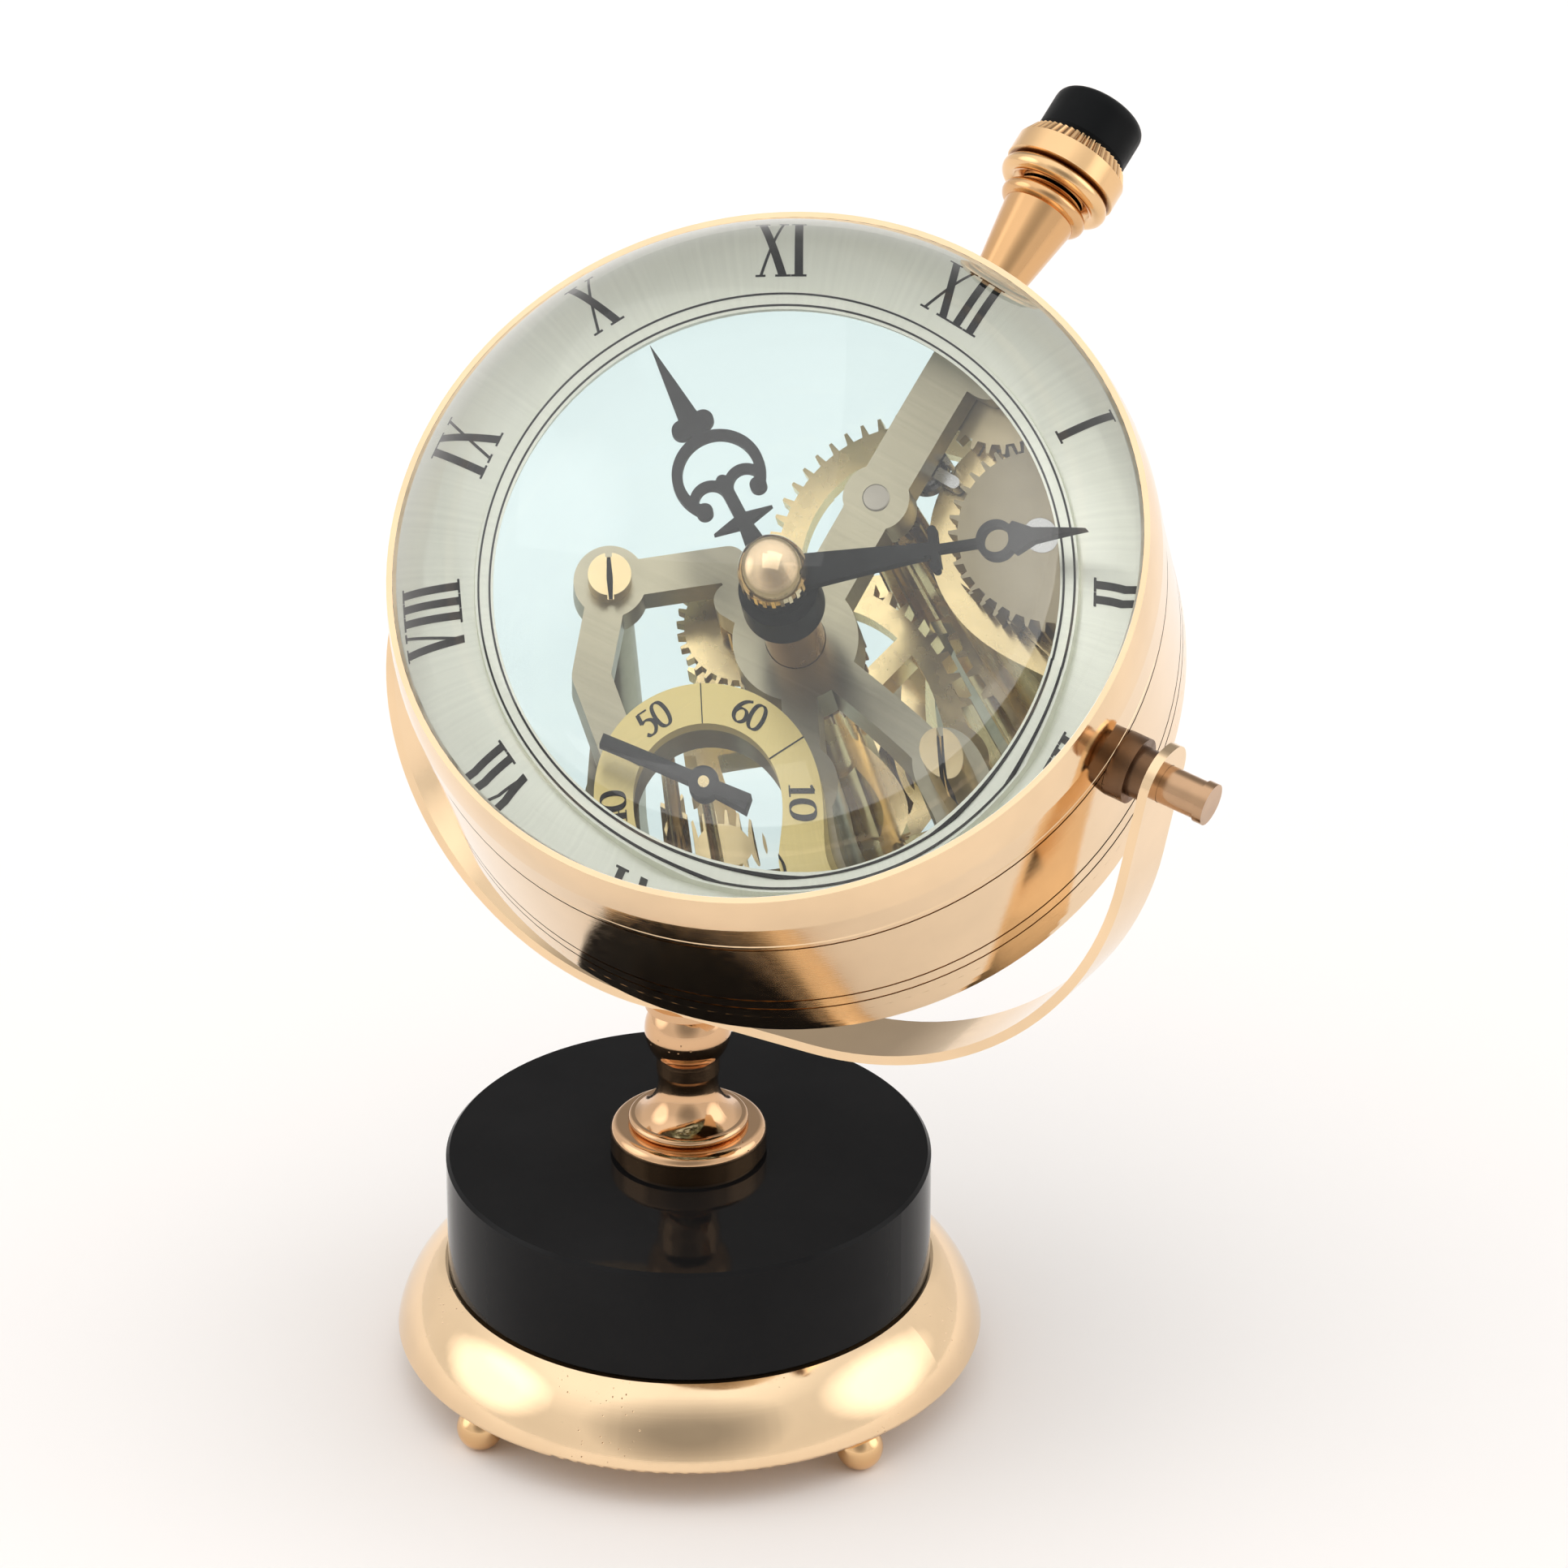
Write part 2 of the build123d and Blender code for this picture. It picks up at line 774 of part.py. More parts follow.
def tie_nut():
    """Hexagon nut on the tie rod."""
    low = washer_z() - nut_height
    outline = RegularPolygon(nut_across_flats / 2, 6, major_radius=False)
    bore = rod(tie_radius + fit_clearance, low - overrun, washer_z() + overrun)
    return slab(outline, low, washer_z()) - bore


def yoke():
    """Bent strip that holds the head by two pins."""
    lean = radians(pivot_lean)
    across = (cos(lean), -sin(lean))
    along = (sin(lean), cos(lean))
    rise = head_z - yoke_z
    left_run = (yoke_left_reach - yoke_left_bend + (rise - yoke_left_bend) * sin(lean)) / cos(lean)
    right_run = (yoke_right_reach - yoke_right_bend - (rise - yoke_right_bend) * sin(lean)) / cos(lean)
    left_centre = (head_x - left_run, yoke_z + yoke_left_bend)
    right_centre = (head_x + right_run, yoke_z + yoke_right_bend)

    def end(reach):
        return (
            head_x + reach * across[0] + yoke_end_length * along[0],
            head_z + reach * across[1] + yoke_end_length * along[1],
        )

    def skin(depth):
        left = circle_arc(left_centre, yoke_left_bend - depth, 180 - pivot_lean, 270)
        right = circle_arc(right_centre, yoke_right_bend - depth, 270, 360 - pivot_lean)
        return [
            Line(end(depth - yoke_left_reach), left @ 0), left, Line(left @ 1, right @ 0), right,
            Line(right @ 1, end(yoke_right_reach - depth)),
        ]

    caps = [
        Line(end(-yoke_left_reach), end(-yoke_left_inner)),
        Line(end(yoke_right_reach), end(yoke_right_inner)),
    ]
    outline = make_face(Curve() + skin(0) + skin(yoke_thickness) + caps)
    strip = extrude(Plane.XZ * outline, amount=yoke_width / 2, both=True)
    axis_dir = Vector(across[0], 0, across[1])
    tips = [edge for edge in strip.edges() if is_tip_edge(edge, axis_dir, along)]
    strip = fillet(tips, yoke_corner_radius)
    hole = Plane(origin=(head_x, 0, head_z), z_dir=axis_dir)
    strip -= hole * Cylinder(pin_radius + running_clearance, 2 * yoke_right_reach + overrun)
    strip -= rod(yoke_screw_radius + fit_clearance, yoke_z - overrun, yoke_z + yoke_thickness + overrun)
    return strip


def is_tip_edge(edge, axis_dir, along):
    """True for the short edges across the thickness at the strip's two ends."""
    middle = edge.center()
    beyond = (middle.X - head_x) * along[0] + (middle.Z - head_z) * along[1]
    parallel = abs((edge.tangent_at(0.5)).dot(axis_dir)) > parallel_share
    return parallel and beyond > yoke_end_length / 2


def yoke_screw():
    """Slotted screw through the strip into the pedestal."""
    seat = yoke_z + yoke_thickness
    head = slotted_head(yoke_screw_head_radius, seat, seat + yoke_screw_head_height, 0)
    return head + rod(yoke_screw_radius, yoke_z - yoke_screw_length, seat)


# Case of the head

def across_rod(radius, inner, outer, side):
    """Cylinder along the pivot axis on one side."""
    return Rot(0, side * 90, 0) * rod(radius, inner, outer)


def upward_rod(radius, inner, outer):
    """Cylinder along the stem's axis."""
    return Pos(0, 0, stem_z) * Rot(-90, 0, 0) * rod(radius, inner, outer)


def upward(shape):
    """Shape turned from Z to the stem's axis."""
    return Pos(0, 0, stem_z) * Rot(-90, 0, 0) * shape


def case_drum():
    """Middle of the case with an inner ledge, fine lines and holes for pins and pendant."""
    ledge_low = drum_ledge_z - drum_ledge_height
    line_bottom = drum_radius - drum_line_depth
    outer = [(case_bore, drum_back_z), (drum_radius, drum_back_z)]
    for height in drum_line_heights:
        low = height - drum_line_width / 2
        high = height + drum_line_width / 2
        outer += [(drum_radius, low), (line_bottom, low), (line_bottom, high), (drum_radius, high)]
    body = turned_points(
        *outer, (drum_radius, drum_front_z - seam_edge), (drum_radius - seam_edge, drum_front_z),
        (case_bore, drum_front_z), (case_bore, drum_ledge_z), (drum_ledge_bore, drum_ledge_z),
        (drum_ledge_bore, ledge_low), (case_bore, ledge_low),
    )
    for side in (-1, 1):
        body -= across_rod(pin_radius + fit_clearance, 0, drum_radius + overrun, side)
    return body - upward_rod(pendant_shank_radius + fit_clearance, 0, drum_radius + overrun)


def front_bezel():
    """Ring around the front crystal, drawn in towards its lip."""
    straight_z = drum_front_z + bezel_straight
    middle = ((bezel_radius + lip_radius) / 2 + bezel_bulge, (straight_z + lip_z) / 2)
    return turned(
        Polyline(
            (lip_radius, lip_z), (case_bore, lip_z), (case_bore, drum_front_z),
            (bezel_radius - seam_edge, drum_front_z), (bezel_radius, drum_front_z + seam_edge),
            (bezel_radius, straight_z),
        ),
        ThreePointArc((bezel_radius, straight_z), middle, (lip_radius, lip_z)),
    )


def rear_bezel():
    """Stepped ring around the rear crystal with a spigot into the drum."""
    spigot_radius = case_bore - fit_clearance
    spigot_top = drum_back_z + rear_spigot_length
    seat_bore = rear_crystal_radius + fit_clearance
    points = [(spigot_radius, drum_back_z), (spigot_radius, spigot_top), (rear_shoulder_bore, spigot_top)]
    points += [(rear_shoulder_bore, rear_crystal_face_z), (seat_bore, rear_crystal_face_z)]
    points += [(seat_bore, rear_end_z), (rear_end_radius, rear_end_z)]
    low = drum_back_z - len(rear_step_drops) * rear_step_length
    for drop in reversed(rear_step_drops):
        radius = drum_radius - drop
        root = radius - rear_groove_depth
        points += [(radius, low + rear_groove_width), (radius, low + rear_step_length)]
        low += rear_step_length
        points += [(root, low), (root, low + rear_groove_width)]
    return turned_points(*points[:-2])


def front_lens():
    """Thick domed crystal with a flat back."""
    dome_z = lip_z - sqrt(crystal_dome_radius ** 2 - crystal_radius ** 2)
    edge_bearing = degrees(atan2(lip_z - dome_z, crystal_radius))
    return turned(
        Polyline((0, dome_z + crystal_dome_radius), (0, crystal_back_z), (crystal_radius, crystal_back_z),
                 (crystal_radius, lip_z)),
        circle_arc((0, dome_z), crystal_dome_radius, edge_bearing, 90),
    )


def rear_lens():
    """Shallow domed crystal that closes the back."""
    edge_z = rear_crystal_face_z - rear_crystal_edge
    dome_z = edge_z + sqrt(rear_crystal_dome_radius ** 2 - rear_crystal_radius ** 2)
    edge_bearing = degrees(atan2(edge_z - dome_z, rear_crystal_radius))
    return turned(
        Polyline((rear_crystal_radius, edge_z), (rear_crystal_radius, rear_crystal_face_z),
                 (0, rear_crystal_face_z), (0, dome_z - rear_crystal_dome_radius)),
        circle_arc((0, dome_z), rear_crystal_dome_radius, -90, edge_bearing),
    )


def pivot_pins():
    """Long flared pin on the right, short riveted one on the left."""
    right = across_rod(pin_radius, case_bore, right_pin_reach, 1)
    right += across_rod(pin_flare_radius, right_pin_reach - pin_flare_length, right_pin_reach, 1)
    return Compound([across_rod(pin_radius, case_bore, left_pin_reach, -1), right])


def pivot_spacers():
    """Stepped spacer on the right and washer on the left, hollowed to sit on the drum."""
    hollow = rod(drum_radius + fit_clearance, -drum_radius, drum_radius)
    shoulder = drum_radius + spacer_foot_length
    right = across_rod(spacer_foot_radius, drum_radius - overrun, shoulder, 1)
    right += across_rod(spacer_neck_radius, shoulder, shoulder + spacer_neck_length, 1)
    left = across_rod(spacer_foot_radius, drum_radius - overrun, drum_radius + left_washer_thickness, -1)
    for side in (-1, 1):
        bore = across_rod(pin_radius + fit_clearance, 0, right_pin_reach, side)
        left -= bore
        right -= bore
    return Compound([left - hollow, right - hollow])


# Dial

def dial_spacer():
    """Ring that holds the crystal off the dial."""
    return tube(crystal_radius, spacer_ring_bore, carrier_front_z, crystal_back_z)


def dial_carrier():
    """Ring on the drum's ledge that carries the dial and the movement posts."""
    ring = tube(crystal_radius, carrier_bore, drum_ledge_z, carrier_front_z)
    for place in posts_at:
        top = drum_ledge_z + post_spigot_length
        ring -= rod(post_spigot_radius + fit_clearance, drum_ledge_z - overrun, top, place)
    return ring


def chapter_ring():
    """Hour ring."""
    return tube(chapter_radius, chapter_bore, carrier_front_z, chapter_front_z)


def dial_rail():
    """Thin raised ring inside the hour ring."""
    return tube(rail_radius, chapter_bore, chapter_front_z, chapter_front_z + rail_thickness)


def seconds_ring():
    """Small dial ring at VI."""
    top = plate_front_z + seconds_ring_thickness
    return tube(seconds_ring_radius, seconds_ring_bore, plate_front_z, top, fourth_at)


# Plates

def front_web():
    """Outline of the skeleton front plate."""
    left, right, _ = pillars_at
    arm_end = (0, carrier_bore)
    pad = Rectangle(arm_width, arm_pad_length, align=(Align.CENTER, Align.MIN))
    arch = (-pillar_x / 2, left_arm_rise)
    leg_bend = (leg_bend_x, leg_bend_y)
    leg_end = (leg_end_x, seconds_ring_y)
    outline = Circle(hub_radius) + bar(centre_at, (0, carrier_bore - arm_width / 2), arm_width)
    square = Rectangle(arm_width, arm_width, align=(Align.CENTER, Align.MIN))
    outline += Pos(*arm_end) * pad + Pos(0, carrier_bore - arm_width) * square
    outline += spot(train_boss_radius, intermediate_at) + spot(shoulder_head_radius, crown_wheel_at)
    outline += bar((0, crown_wheel_y), crown_wheel_at, arm_width)
    outline += bar(centre_at, arch, left_arm_width) + bar(arch, left, left_arm_width)
    outline += bar(left, leg_bend, leg_width) + bar(leg_bend, leg_end, leg_width)
    outline += bar(centre_at, right, left_arm_width) + bar(centre_at, minute_at, left_arm_width)
    for place in pillars_at:
        outline += spot(pillar_boss_radius, place)
    reach = 2 * low_band_outer
    wedge = make_face(Polyline(
        centre_at, polar(centre_at, reach, low_band_start), polar(centre_at, reach, low_band_end), close=True,
    ))
    outline += (Circle(low_band_outer) - Circle(low_band_inner)) & wedge
    band_middle = polar(centre_at, low_band_outer - arm_width, third_bearing)
    outline += bar(third_at, band_middle, arm_width)
    outline += bar(centre_at, third_at, left_arm_width) + spot(train_boss_radius, third_at)
    outline += spot(sub_dial_web_radius, fourth_at)
    outline -= spot(sub_dial_web_bore, fourth_at)
    outline -= Circle(hour_pipe_radius + running_clearance)
    return outline


def front_plate():
    """Skeleton plate with pivot holes, a pad under the dial carrier and the minute wheel's stud."""
    plate = slab(front_web(), plate_back_z, plate_front_z)
    pad = Rectangle(arm_width, arm_pad_length, align=(Align.CENTER, Align.MIN))
    plate += slab(Pos(0, carrier_bore + side_clearance) * pad, plate_front_z, drum_ledge_z)
    low = plate_back_z - overrun
    high = plate_front_z + overrun
    for place in (intermediate_at, third_at, escape_at):
        plate -= rod(pivot_radius + running_clearance, low, high, place)
    for place in pillars_at:
        plate -= rod(plate_screw_radius + fit_clearance, low, high, place)
    for place in (crown_wheel_at, click_at):
        top = plate_back_z + shoulder_thread_length
        plate -= rod(shoulder_thread_radius + fit_clearance, low, top, place)
    return plate + rod(stud_radius, minute_wheel_z - side_clearance, plate_back_z, minute_at)


def rear_plate():
    """Skeleton plate behind the train, reaching out to the posts."""
    left, right, lower = pillars_at
    top_post, left_post, right_post = posts_at
    webs = (
        (centre_at, intermediate_at), (intermediate_at, barrel_at), (barrel_at, top_post),
        (centre_at, third_at), (third_at, fourth_at), (fourth_at, escape_at), (escape_at, pallet_at),
        (pallet_at, balance_at), (balance_at, left_post), (pallet_at, pallet_cock_at),
        (pallet_cock_at, left), (third_at, lower), (lower, right_post), (third_at, right),
        (fourth_at, seconds_cock_at), (balance_at, balance_cock_at),
    )
    outline = Circle(hub_radius)
    for a, b in webs:
        outline += bar(a, b, rear_web_width)
    plate = slab(outline, rear_plate_back_z, rear_plate_front_z)
    holes = [(pivot_radius, place) for place in (intermediate_at, third_at, fourth_at, escape_at, pallet_at)]
    holes += [(balance_staff_radius, balance_at), (centre_arbor_radius, centre_at)]
    holes += [(barrel_arbor_radius, barrel_at)]
    low = rear_plate_back_z - overrun
    high = rear_plate_front_z + overrun
    for radius, place in holes:
        plate -= rod(radius + running_clearance, low, high, place)
    for place in posts_at:
        plate -= rod(post_spigot_radius + fit_clearance, low, high, place)
    return plate


def plate_pillars():
    """Pillars between the plates, tapped for the plate screws."""
    pillars = []
    for place in pillars_at:
        pillar = rod(pillar_radius, rear_plate_front_z, plate_back_z, place)
        bottom = plate_front_z - plate_screw_length
        tap = rod(plate_screw_radius + fit_clearance, bottom, plate_back_z + overrun, place)
        pillars.append(pillar - tap)
    return Compound(pillars)


def plate_screws():
    """Slotted screws on the front plate."""
    top = plate_front_z + plate_screw_head_height
    screw = slotted_head(plate_screw_head_radius, plate_front_z, top, plate_slot_angle)
    screw += rod(plate_screw_radius, plate_front_z - plate_screw_length, plate_front_z)
    return Compound([at_point(place, screw) for place in pillars_at])


def movement_posts():
    """Posts from the dial carrier to the rear plate, riveted at both ends."""
    posts = []
    for place in posts_at:
        post = rod(post_radius, rear_plate_front_z, drum_ledge_z, place)
        post += rod(post_spigot_radius, rear_plate_back_z, drum_ledge_z + post_spigot_length, place)
        posts.append(post)
    return Compound(posts)


# Going train

def arbor(low, high):
    """Arbor between two plates with thinner pivots at its ends."""
    shaft = rod(arbor_radius, low + side_clearance, high - side_clearance)
    return shaft + rod(pivot_radius, low - plate_thickness, high + plate_thickness)


def wheel_slab(outline, low):
    """Wheel of the usual thickness."""
    return slab(outline, low, low + wheel_thickness)


def pinion_slab(count, module, phase, low, high):
    """Pinion that overlaps its wheel's thickness on both sides."""
    return slab(gear(count, module, phase), low - pinion_overlap, high + pinion_overlap)


def centre_wheel():
    """Centre arbor with pinion, wheel and boss; it turns once an hour."""
    body = rod(centre_arbor_radius, rear_plate_back_z, minute_hand_z + hand_thickness + cap_skirt_height)
    body += pinion_slab(
        centre_pinion_teeth, intermediate_module, 0, intermediate_z, centre_wheel_z - pinion_overlap,
    )
    body += wheel_slab(crossed_gear(centre_teeth, centre_module, 0, 5), centre_wheel_z)
    return body + rod(centre_boss_radius, centre_wheel_z, centre_boss_top_z)


def intermediate_phase():
    """Turn of the intermediate wheel at rest."""
    return mesh_phase(centre_at, intermediate_at, centre_pinion_teeth, 0, intermediate_teeth)


def intermediate_wheel():
    """Wheel at XII that drives the centre pinion, with a long ribbed pinion for the barrel."""
    phase = intermediate_phase()
    ribs = gear(intermediate_pinion_teeth, barrel_module, phase)
    body = arbor(rear_plate_front_z, plate_back_z)
    body += wheel_slab(crossed_gear(intermediate_teeth, intermediate_module, phase, 5), intermediate_z)
    body += slab(ribs, intermediate_z + wheel_thickness, long_pinion_top_z)
    return at_point(intermediate_at, body)


def barrel():
    """Toothed barrel with its drum wall."""
    phase = mesh_phase(
        intermediate_at, barrel_at, intermediate_pinion_teeth, intermediate_phase(), barrel_teeth,
    )
    floor_top = barrel_back_z + barrel_floor
    body = slab(gear(barrel_teeth, barrel_module, phase), barrel_back_z, floor_top)
    body += tube(barrel_drum_radius, barrel_drum_radius - barrel_wall, floor_top, barrel_cover_z)
    body -= rod(barrel_arbor_radius + running_clearance, barrel_back_z - overrun, floor_top + overrun)
    return at_point(barrel_at, body)


def barrel_cover():
    """Lid of the barrel."""
    return tube(
        barrel_drum_radius, barrel_arbor_radius + running_clearance, barrel_cover_z,
        barrel_cover_z + barrel_cover_thickness, barrel_at,
    )


def mainspring():
    """Spiral spring inside the barrel."""
    start = barrel_drum_radius - barrel_wall - side_clearance
    start -= mainspring_turns * mainspring_pitch + mainspring_strip
    floor_top = barrel_back_z + barrel_floor
    strip = slab(
        spiral(start, mainspring_turns, mainspring_pitch, mainspring_strip),
        floor_top + side_clearance, barrel_cover_z - side_clearance,
    )
    return at_point(barrel_at, strip)


def barrel_arbor():
    """Arbor that the ratchet winds, with its core inside the barrel."""
    floor_top = barrel_back_z + barrel_floor
    body = rod(barrel_arbor_radius, rear_plate_back_z, ratchet_z + ratchet_thickness)
    body += rod(barrel_core_radius, floor_top + side_clearance, barrel_cover_z - side_clearance)
    return at_point(barrel_at, body)


def ratchet_wheel():
    """Winding wheel on the barrel arbor."""
    outline = gear(ratchet_teeth, winding_module, 0) - Circle(barrel_arbor_radius + fit_clearance)
    return at_point(barrel_at, slab(outline, ratchet_z, ratchet_z + ratchet_thickness))


def third_wheel():
    """Third wheel, driven by the centre wheel."""
    phase = mesh_phase(centre_at, third_at, centre_teeth, 0, third_pinion_teeth)
    body = arbor(rear_plate_front_z, plate_back_z)
    body += wheel_slab(crossed_gear(third_teeth, third_module, phase, 5), third_wheel_z)
    centre_top = centre_wheel_z + wheel_thickness
    body += pinion_slab(third_pinion_teeth, centre_module, phase, centre_wheel_z, centre_top)
    return at_point(third_at, body)


def fourth_phase():
    """Turn of the fourth wheel at rest."""
    third_phase = mesh_phase(centre_at, third_at, centre_teeth, 0, third_pinion_teeth)
    return mesh_phase(third_at, fourth_at, third_teeth, third_phase, fourth_pinion_teeth)


def fourth_wheel():
    """Fourth wheel with the long arbor of the seconds hand."""
    phase = fourth_phase()
    body = rod(arbor_radius, rear_plate_front_z + side_clearance, seconds_cock_z - side_clearance)
    body += rod(pivot_radius, rear_plate_back_z, seconds_hand_z + seconds_hand_thickness)
    third_top = third_wheel_z + wheel_thickness
    body += pinion_slab(fourth_pinion_teeth, third_module, phase, third_wheel_z, third_top)
    body += wheel_slab(crossed_gear(fourth_teeth, fourth_module, phase, 4), fourth_wheel_z)
    return at_point(fourth_at, body)


def escape_wheel():
    """Escape wheel with pointed teeth, and its pinion."""
    phase = mesh_phase(fourth_at, escape_at, fourth_teeth, fourth_phase(), escape_pinion_teeth)
    root = escape_root_share * escape_radius
    points = []
    for index in range(escape_teeth):
        middle = index * 360 / escape_teeth
        points.append(polar((0.0, 0.0), escape_radius, middle))
        points.append(polar((0.0, 0.0), root, middle + 120 / escape_teeth))
    outline = make_face(Polyline(*points, close=True)) - Circle(root * rim_share)
    outline += Circle(root * hub_share * 2)
    arm = Rectangle(root, root * arm_width_share * 2, align=(Align.MIN, Align.CENTER))
    for index in range(3):
        outline += Rot(0, 0, index * 120) * arm
    body = arbor(rear_plate_front_z, plate_back_z) + wheel_slab(outline, escape_wheel_z)
    fourth_top = fourth_wheel_z + wheel_thickness
    body += pinion_slab(escape_pinion_teeth, fourth_module, phase, fourth_wheel_z, fourth_top)
    return at_point(escape_at, body)


# Escapement and balance

def pallet_fork():
    """Lever with two pallet arms around the escape wheel."""
    outline = spot(pallet_boss_radius, pallet_at)
    back = pallet_bearing
    for turn in (-pallet_tip_angle, pallet_tip_angle):
        outline += bar(pallet_at, polar(escape_at, pallet_tip_radius, back + turn), pallet_bar_width)
    outline += bar(pallet_at, polar(pallet_at, pallet_lever_length, balance_bearing), pallet_bar_width)
    body = slab(outline, escape_wheel_z, escape_wheel_z + wheel_thickness)
    return body + rod(pivot_radius, rear_plate_back_z, pallet_arbor_top_z, pallet_at)


def pallet_cock():
    """Cock over the pallet arbor."""
    low = pallet_arbor_top_z - cock_thickness
    body = slab(bar(pallet_at, pallet_cock_at, cock_width), low, pallet_arbor_top_z)
    body += rod(cock_foot_radius, rear_plate_front_z, low, pallet_cock_at)
    high = pallet_arbor_top_z + overrun
    return body - rod(pivot_radius + running_clearance, low - overrun, high, pallet_at)


def balance_wheel():
    """Balance rim, arm, staff and roller."""
    top = balance_z + balance_thickness
    outline = Circle(balance_radius) - Circle(balance_radius - balance_rim_width)
    outline += Rectangle(2 * balance_radius - balance_rim_width, balance_arm_width)
    outline += Circle(balance_hub_radius)
    body = slab(outline, balance_z, top)
    body += rod(balance_staff_radius, rear_plate_back_z, balance_cock_z + cock_thickness)
    body += rod(roller_radius, escape_wheel_z, escape_wheel_z + roller_thickness)
    return at_point(balance_at, body)


def hairspring():
    """Flat spiral spring over the balance, with the stud that ties it to the cock."""
    outline = spiral(hairspring_start_radius, hairspring_turns, hairspring_pitch, hairspring_strip)
    strip = slab(outline, hairspring_z, hairspring_z + hairspring_height)
    end = hairspring_start_radius + hairspring_turns * hairspring_pitch
    stud_bearing = bearing_of(balance_at, balance_cock_at)
    stud = rod(balance_staff_radius, hairspring_z, balance_cock_z, (end - hairspring_pitch / 2, 0.0))
    return at_point(balance_at, Rot(0, 0, stud_bearing) * (strip + stud))


def balance_cock():
    """Cock over the balance staff."""
    top = balance_cock_z + cock_thickness
    body = slab(bar(balance_at, balance_cock_at, cock_width), balance_cock_z, top)
    body += rod(cock_foot_radius, rear_plate_front_z, balance_cock_z, balance_cock_at)
    low = balance_cock_z - overrun
    return body - rod(balance_staff_radius + running_clearance, low, top + overrun, balance_at)


def seconds_cock():
    """Cock that steadies the fourth arbor."""
    top = seconds_cock_z + cock_thickness
    body = slab(bar(fourth_at, seconds_cock_at, cock_width), seconds_cock_z, top)
    body += rod(cock_foot_radius, rear_plate_front_z, seconds_cock_z, seconds_cock_at)
    return body - rod(pivot_radius + running_clearance, seconds_cock_z - overrun, top + overrun, fourth_at)


# Motion work and hands

def cannon_pinion():
    """Tube on the centre arbor that carries the minute hand."""
    low = minute_wheel_z - side_clearance
    body = rod(cannon_radius, low, minute_hand_z)
    body += slab(gear(cannon_teeth, minute_module, 0), low, hour_wheel_z - side_clearance)
    return body - rod(centre_arbor_radius + fit_clearance, low - overrun, minute_hand_z + overrun)


def minute_phase():
    """Turn of the minute wheel at rest."""
    return mesh_phase(centre_at, minute_at, cannon_teeth, 0, minute_wheel_teeth)


def minute_wheel():
    """Wheel and pinion on the stud behind the left arm."""
    phase = minute_phase()
    wheel = gear(minute_wheel_teeth, minute_module, phase)
    pinion = gear(minute_pinion_teeth, hour_module, phase)
    body = slab(wheel, minute_wheel_z, minute_wheel_z + motion_thickness)
    body += slab(pinion, minute_wheel_z, hour_wheel_z + motion_thickness)
    body -= rod(stud_radius + running_clearance, minute_wheel_z - overrun, plate_back_z)
    return at_point(minute_at, body)


def hour_wheel():
    """Hour wheel with the long pipe that carries the hour hand."""
    phase = mesh_phase(minute_at, centre_at, minute_pinion_teeth, minute_phase(), hour_wheel_teeth)
    body = slab(gear(hour_wheel_teeth, hour_module, phase), hour_wheel_z, hour_wheel_z + motion_thickness)
    body += rod(hour_pipe_radius, hour_wheel_z, hour_hand_z)
    return body - rod(cannon_radius + running_clearance, hour_wheel_z - overrun, hour_hand_z + overrun)


def taper(start, start_half, end, end_half):
    """Straight-sided outline along X that narrows from one half width to another."""
    return make_face(Polyline(
        (start, -start_half), (end, -end_half), (end, end_half), (start, start_half), close=True,
    ))


def lozenge(middle, half_length, half_width):
    """Pointed bar outline across X."""
    return make_face(Polyline(
        (middle, -half_length), (middle + half_width, 0), (middle, half_length), (middle - half_width, 0),
        close=True,
    ))


def spear(start, half, tip):
    """Long triangle outline along X."""
    return make_face(Polyline((start, -half), (tip, 0), (start, half), close=True))


def hour_crescent():
    """Ring open towards the root, with round ends, and a curled lobe on each side of the stem."""
    ring_at = (hour_ring_r, 0.0)
    ring = spot(hour_ring_radius, ring_at) - spot(hour_ring_radius - hour_ring_band, ring_at)
    half = hour_ring_opening / 2
    reach = 2 * hour_ring_radius
    opening = make_face(Polyline(
        ring_at, polar(ring_at, reach, 180 - half), polar(ring_at, reach, 180 + half), close=True,
    ))
    ring -= opening
    keep = Rectangle(hour_lobe_radius, 2 * hour_lobe_radius, align=(Align.MIN, Align.CENTER))
    for side in (-1, 1):
        lobe_at = (hour_lobe_r, side * hour_lobe_side)
        lobe = spot(hour_lobe_radius, lobe_at) - spot(hour_lobe_radius - hour_lobe_band, lobe_at)
        ring += lobe & (Pos(*lobe_at) * keep)
    middle_radius = hour_ring_radius - hour_ring_band / 2
    for turn in (180 - half, 180 + half):
        ring += spot(hour_ring_end_radius, polar(ring_at, middle_radius, turn))
    return ring


def hour_hand():
    """Pierced hand with a black boss: root, pointed bar, crescent with two lobes, two knobs and a spear."""
    outline = Circle(hand_hub_radius) + taper(0, hour_root_half, hour_bar_r, hour_stem_width / 2)
    outline += lozenge(hour_bar_r, hour_bar_half, hour_bar_width / 2)
    outline += bar((hour_bar_r, 0.0), (hour_stem_end_r, 0.0), hour_stem_width)
    outline += hour_crescent()
    for side in (-1, 1):
        outline += spot(hour_knob_radius, (hour_knob_r, side * hour_knob_side))
    outline += bar((hour_ring_r + hour_ring_radius, 0.0), (hour_knob_r, 0.0), hour_stem_width)
    outline += spear(hour_knob_r, hour_spear_half, hour_tip_r)
    outline -= Circle(cannon_radius + running_clearance)
    blade = slab(Rot(0, 0, hour_hand_angle) * outline, hour_hand_z, hour_hand_z + hand_thickness)
    return blade + tube(collar_radius, hour_pipe_radius + fit_clearance, collar_base_z, hour_hand_z)


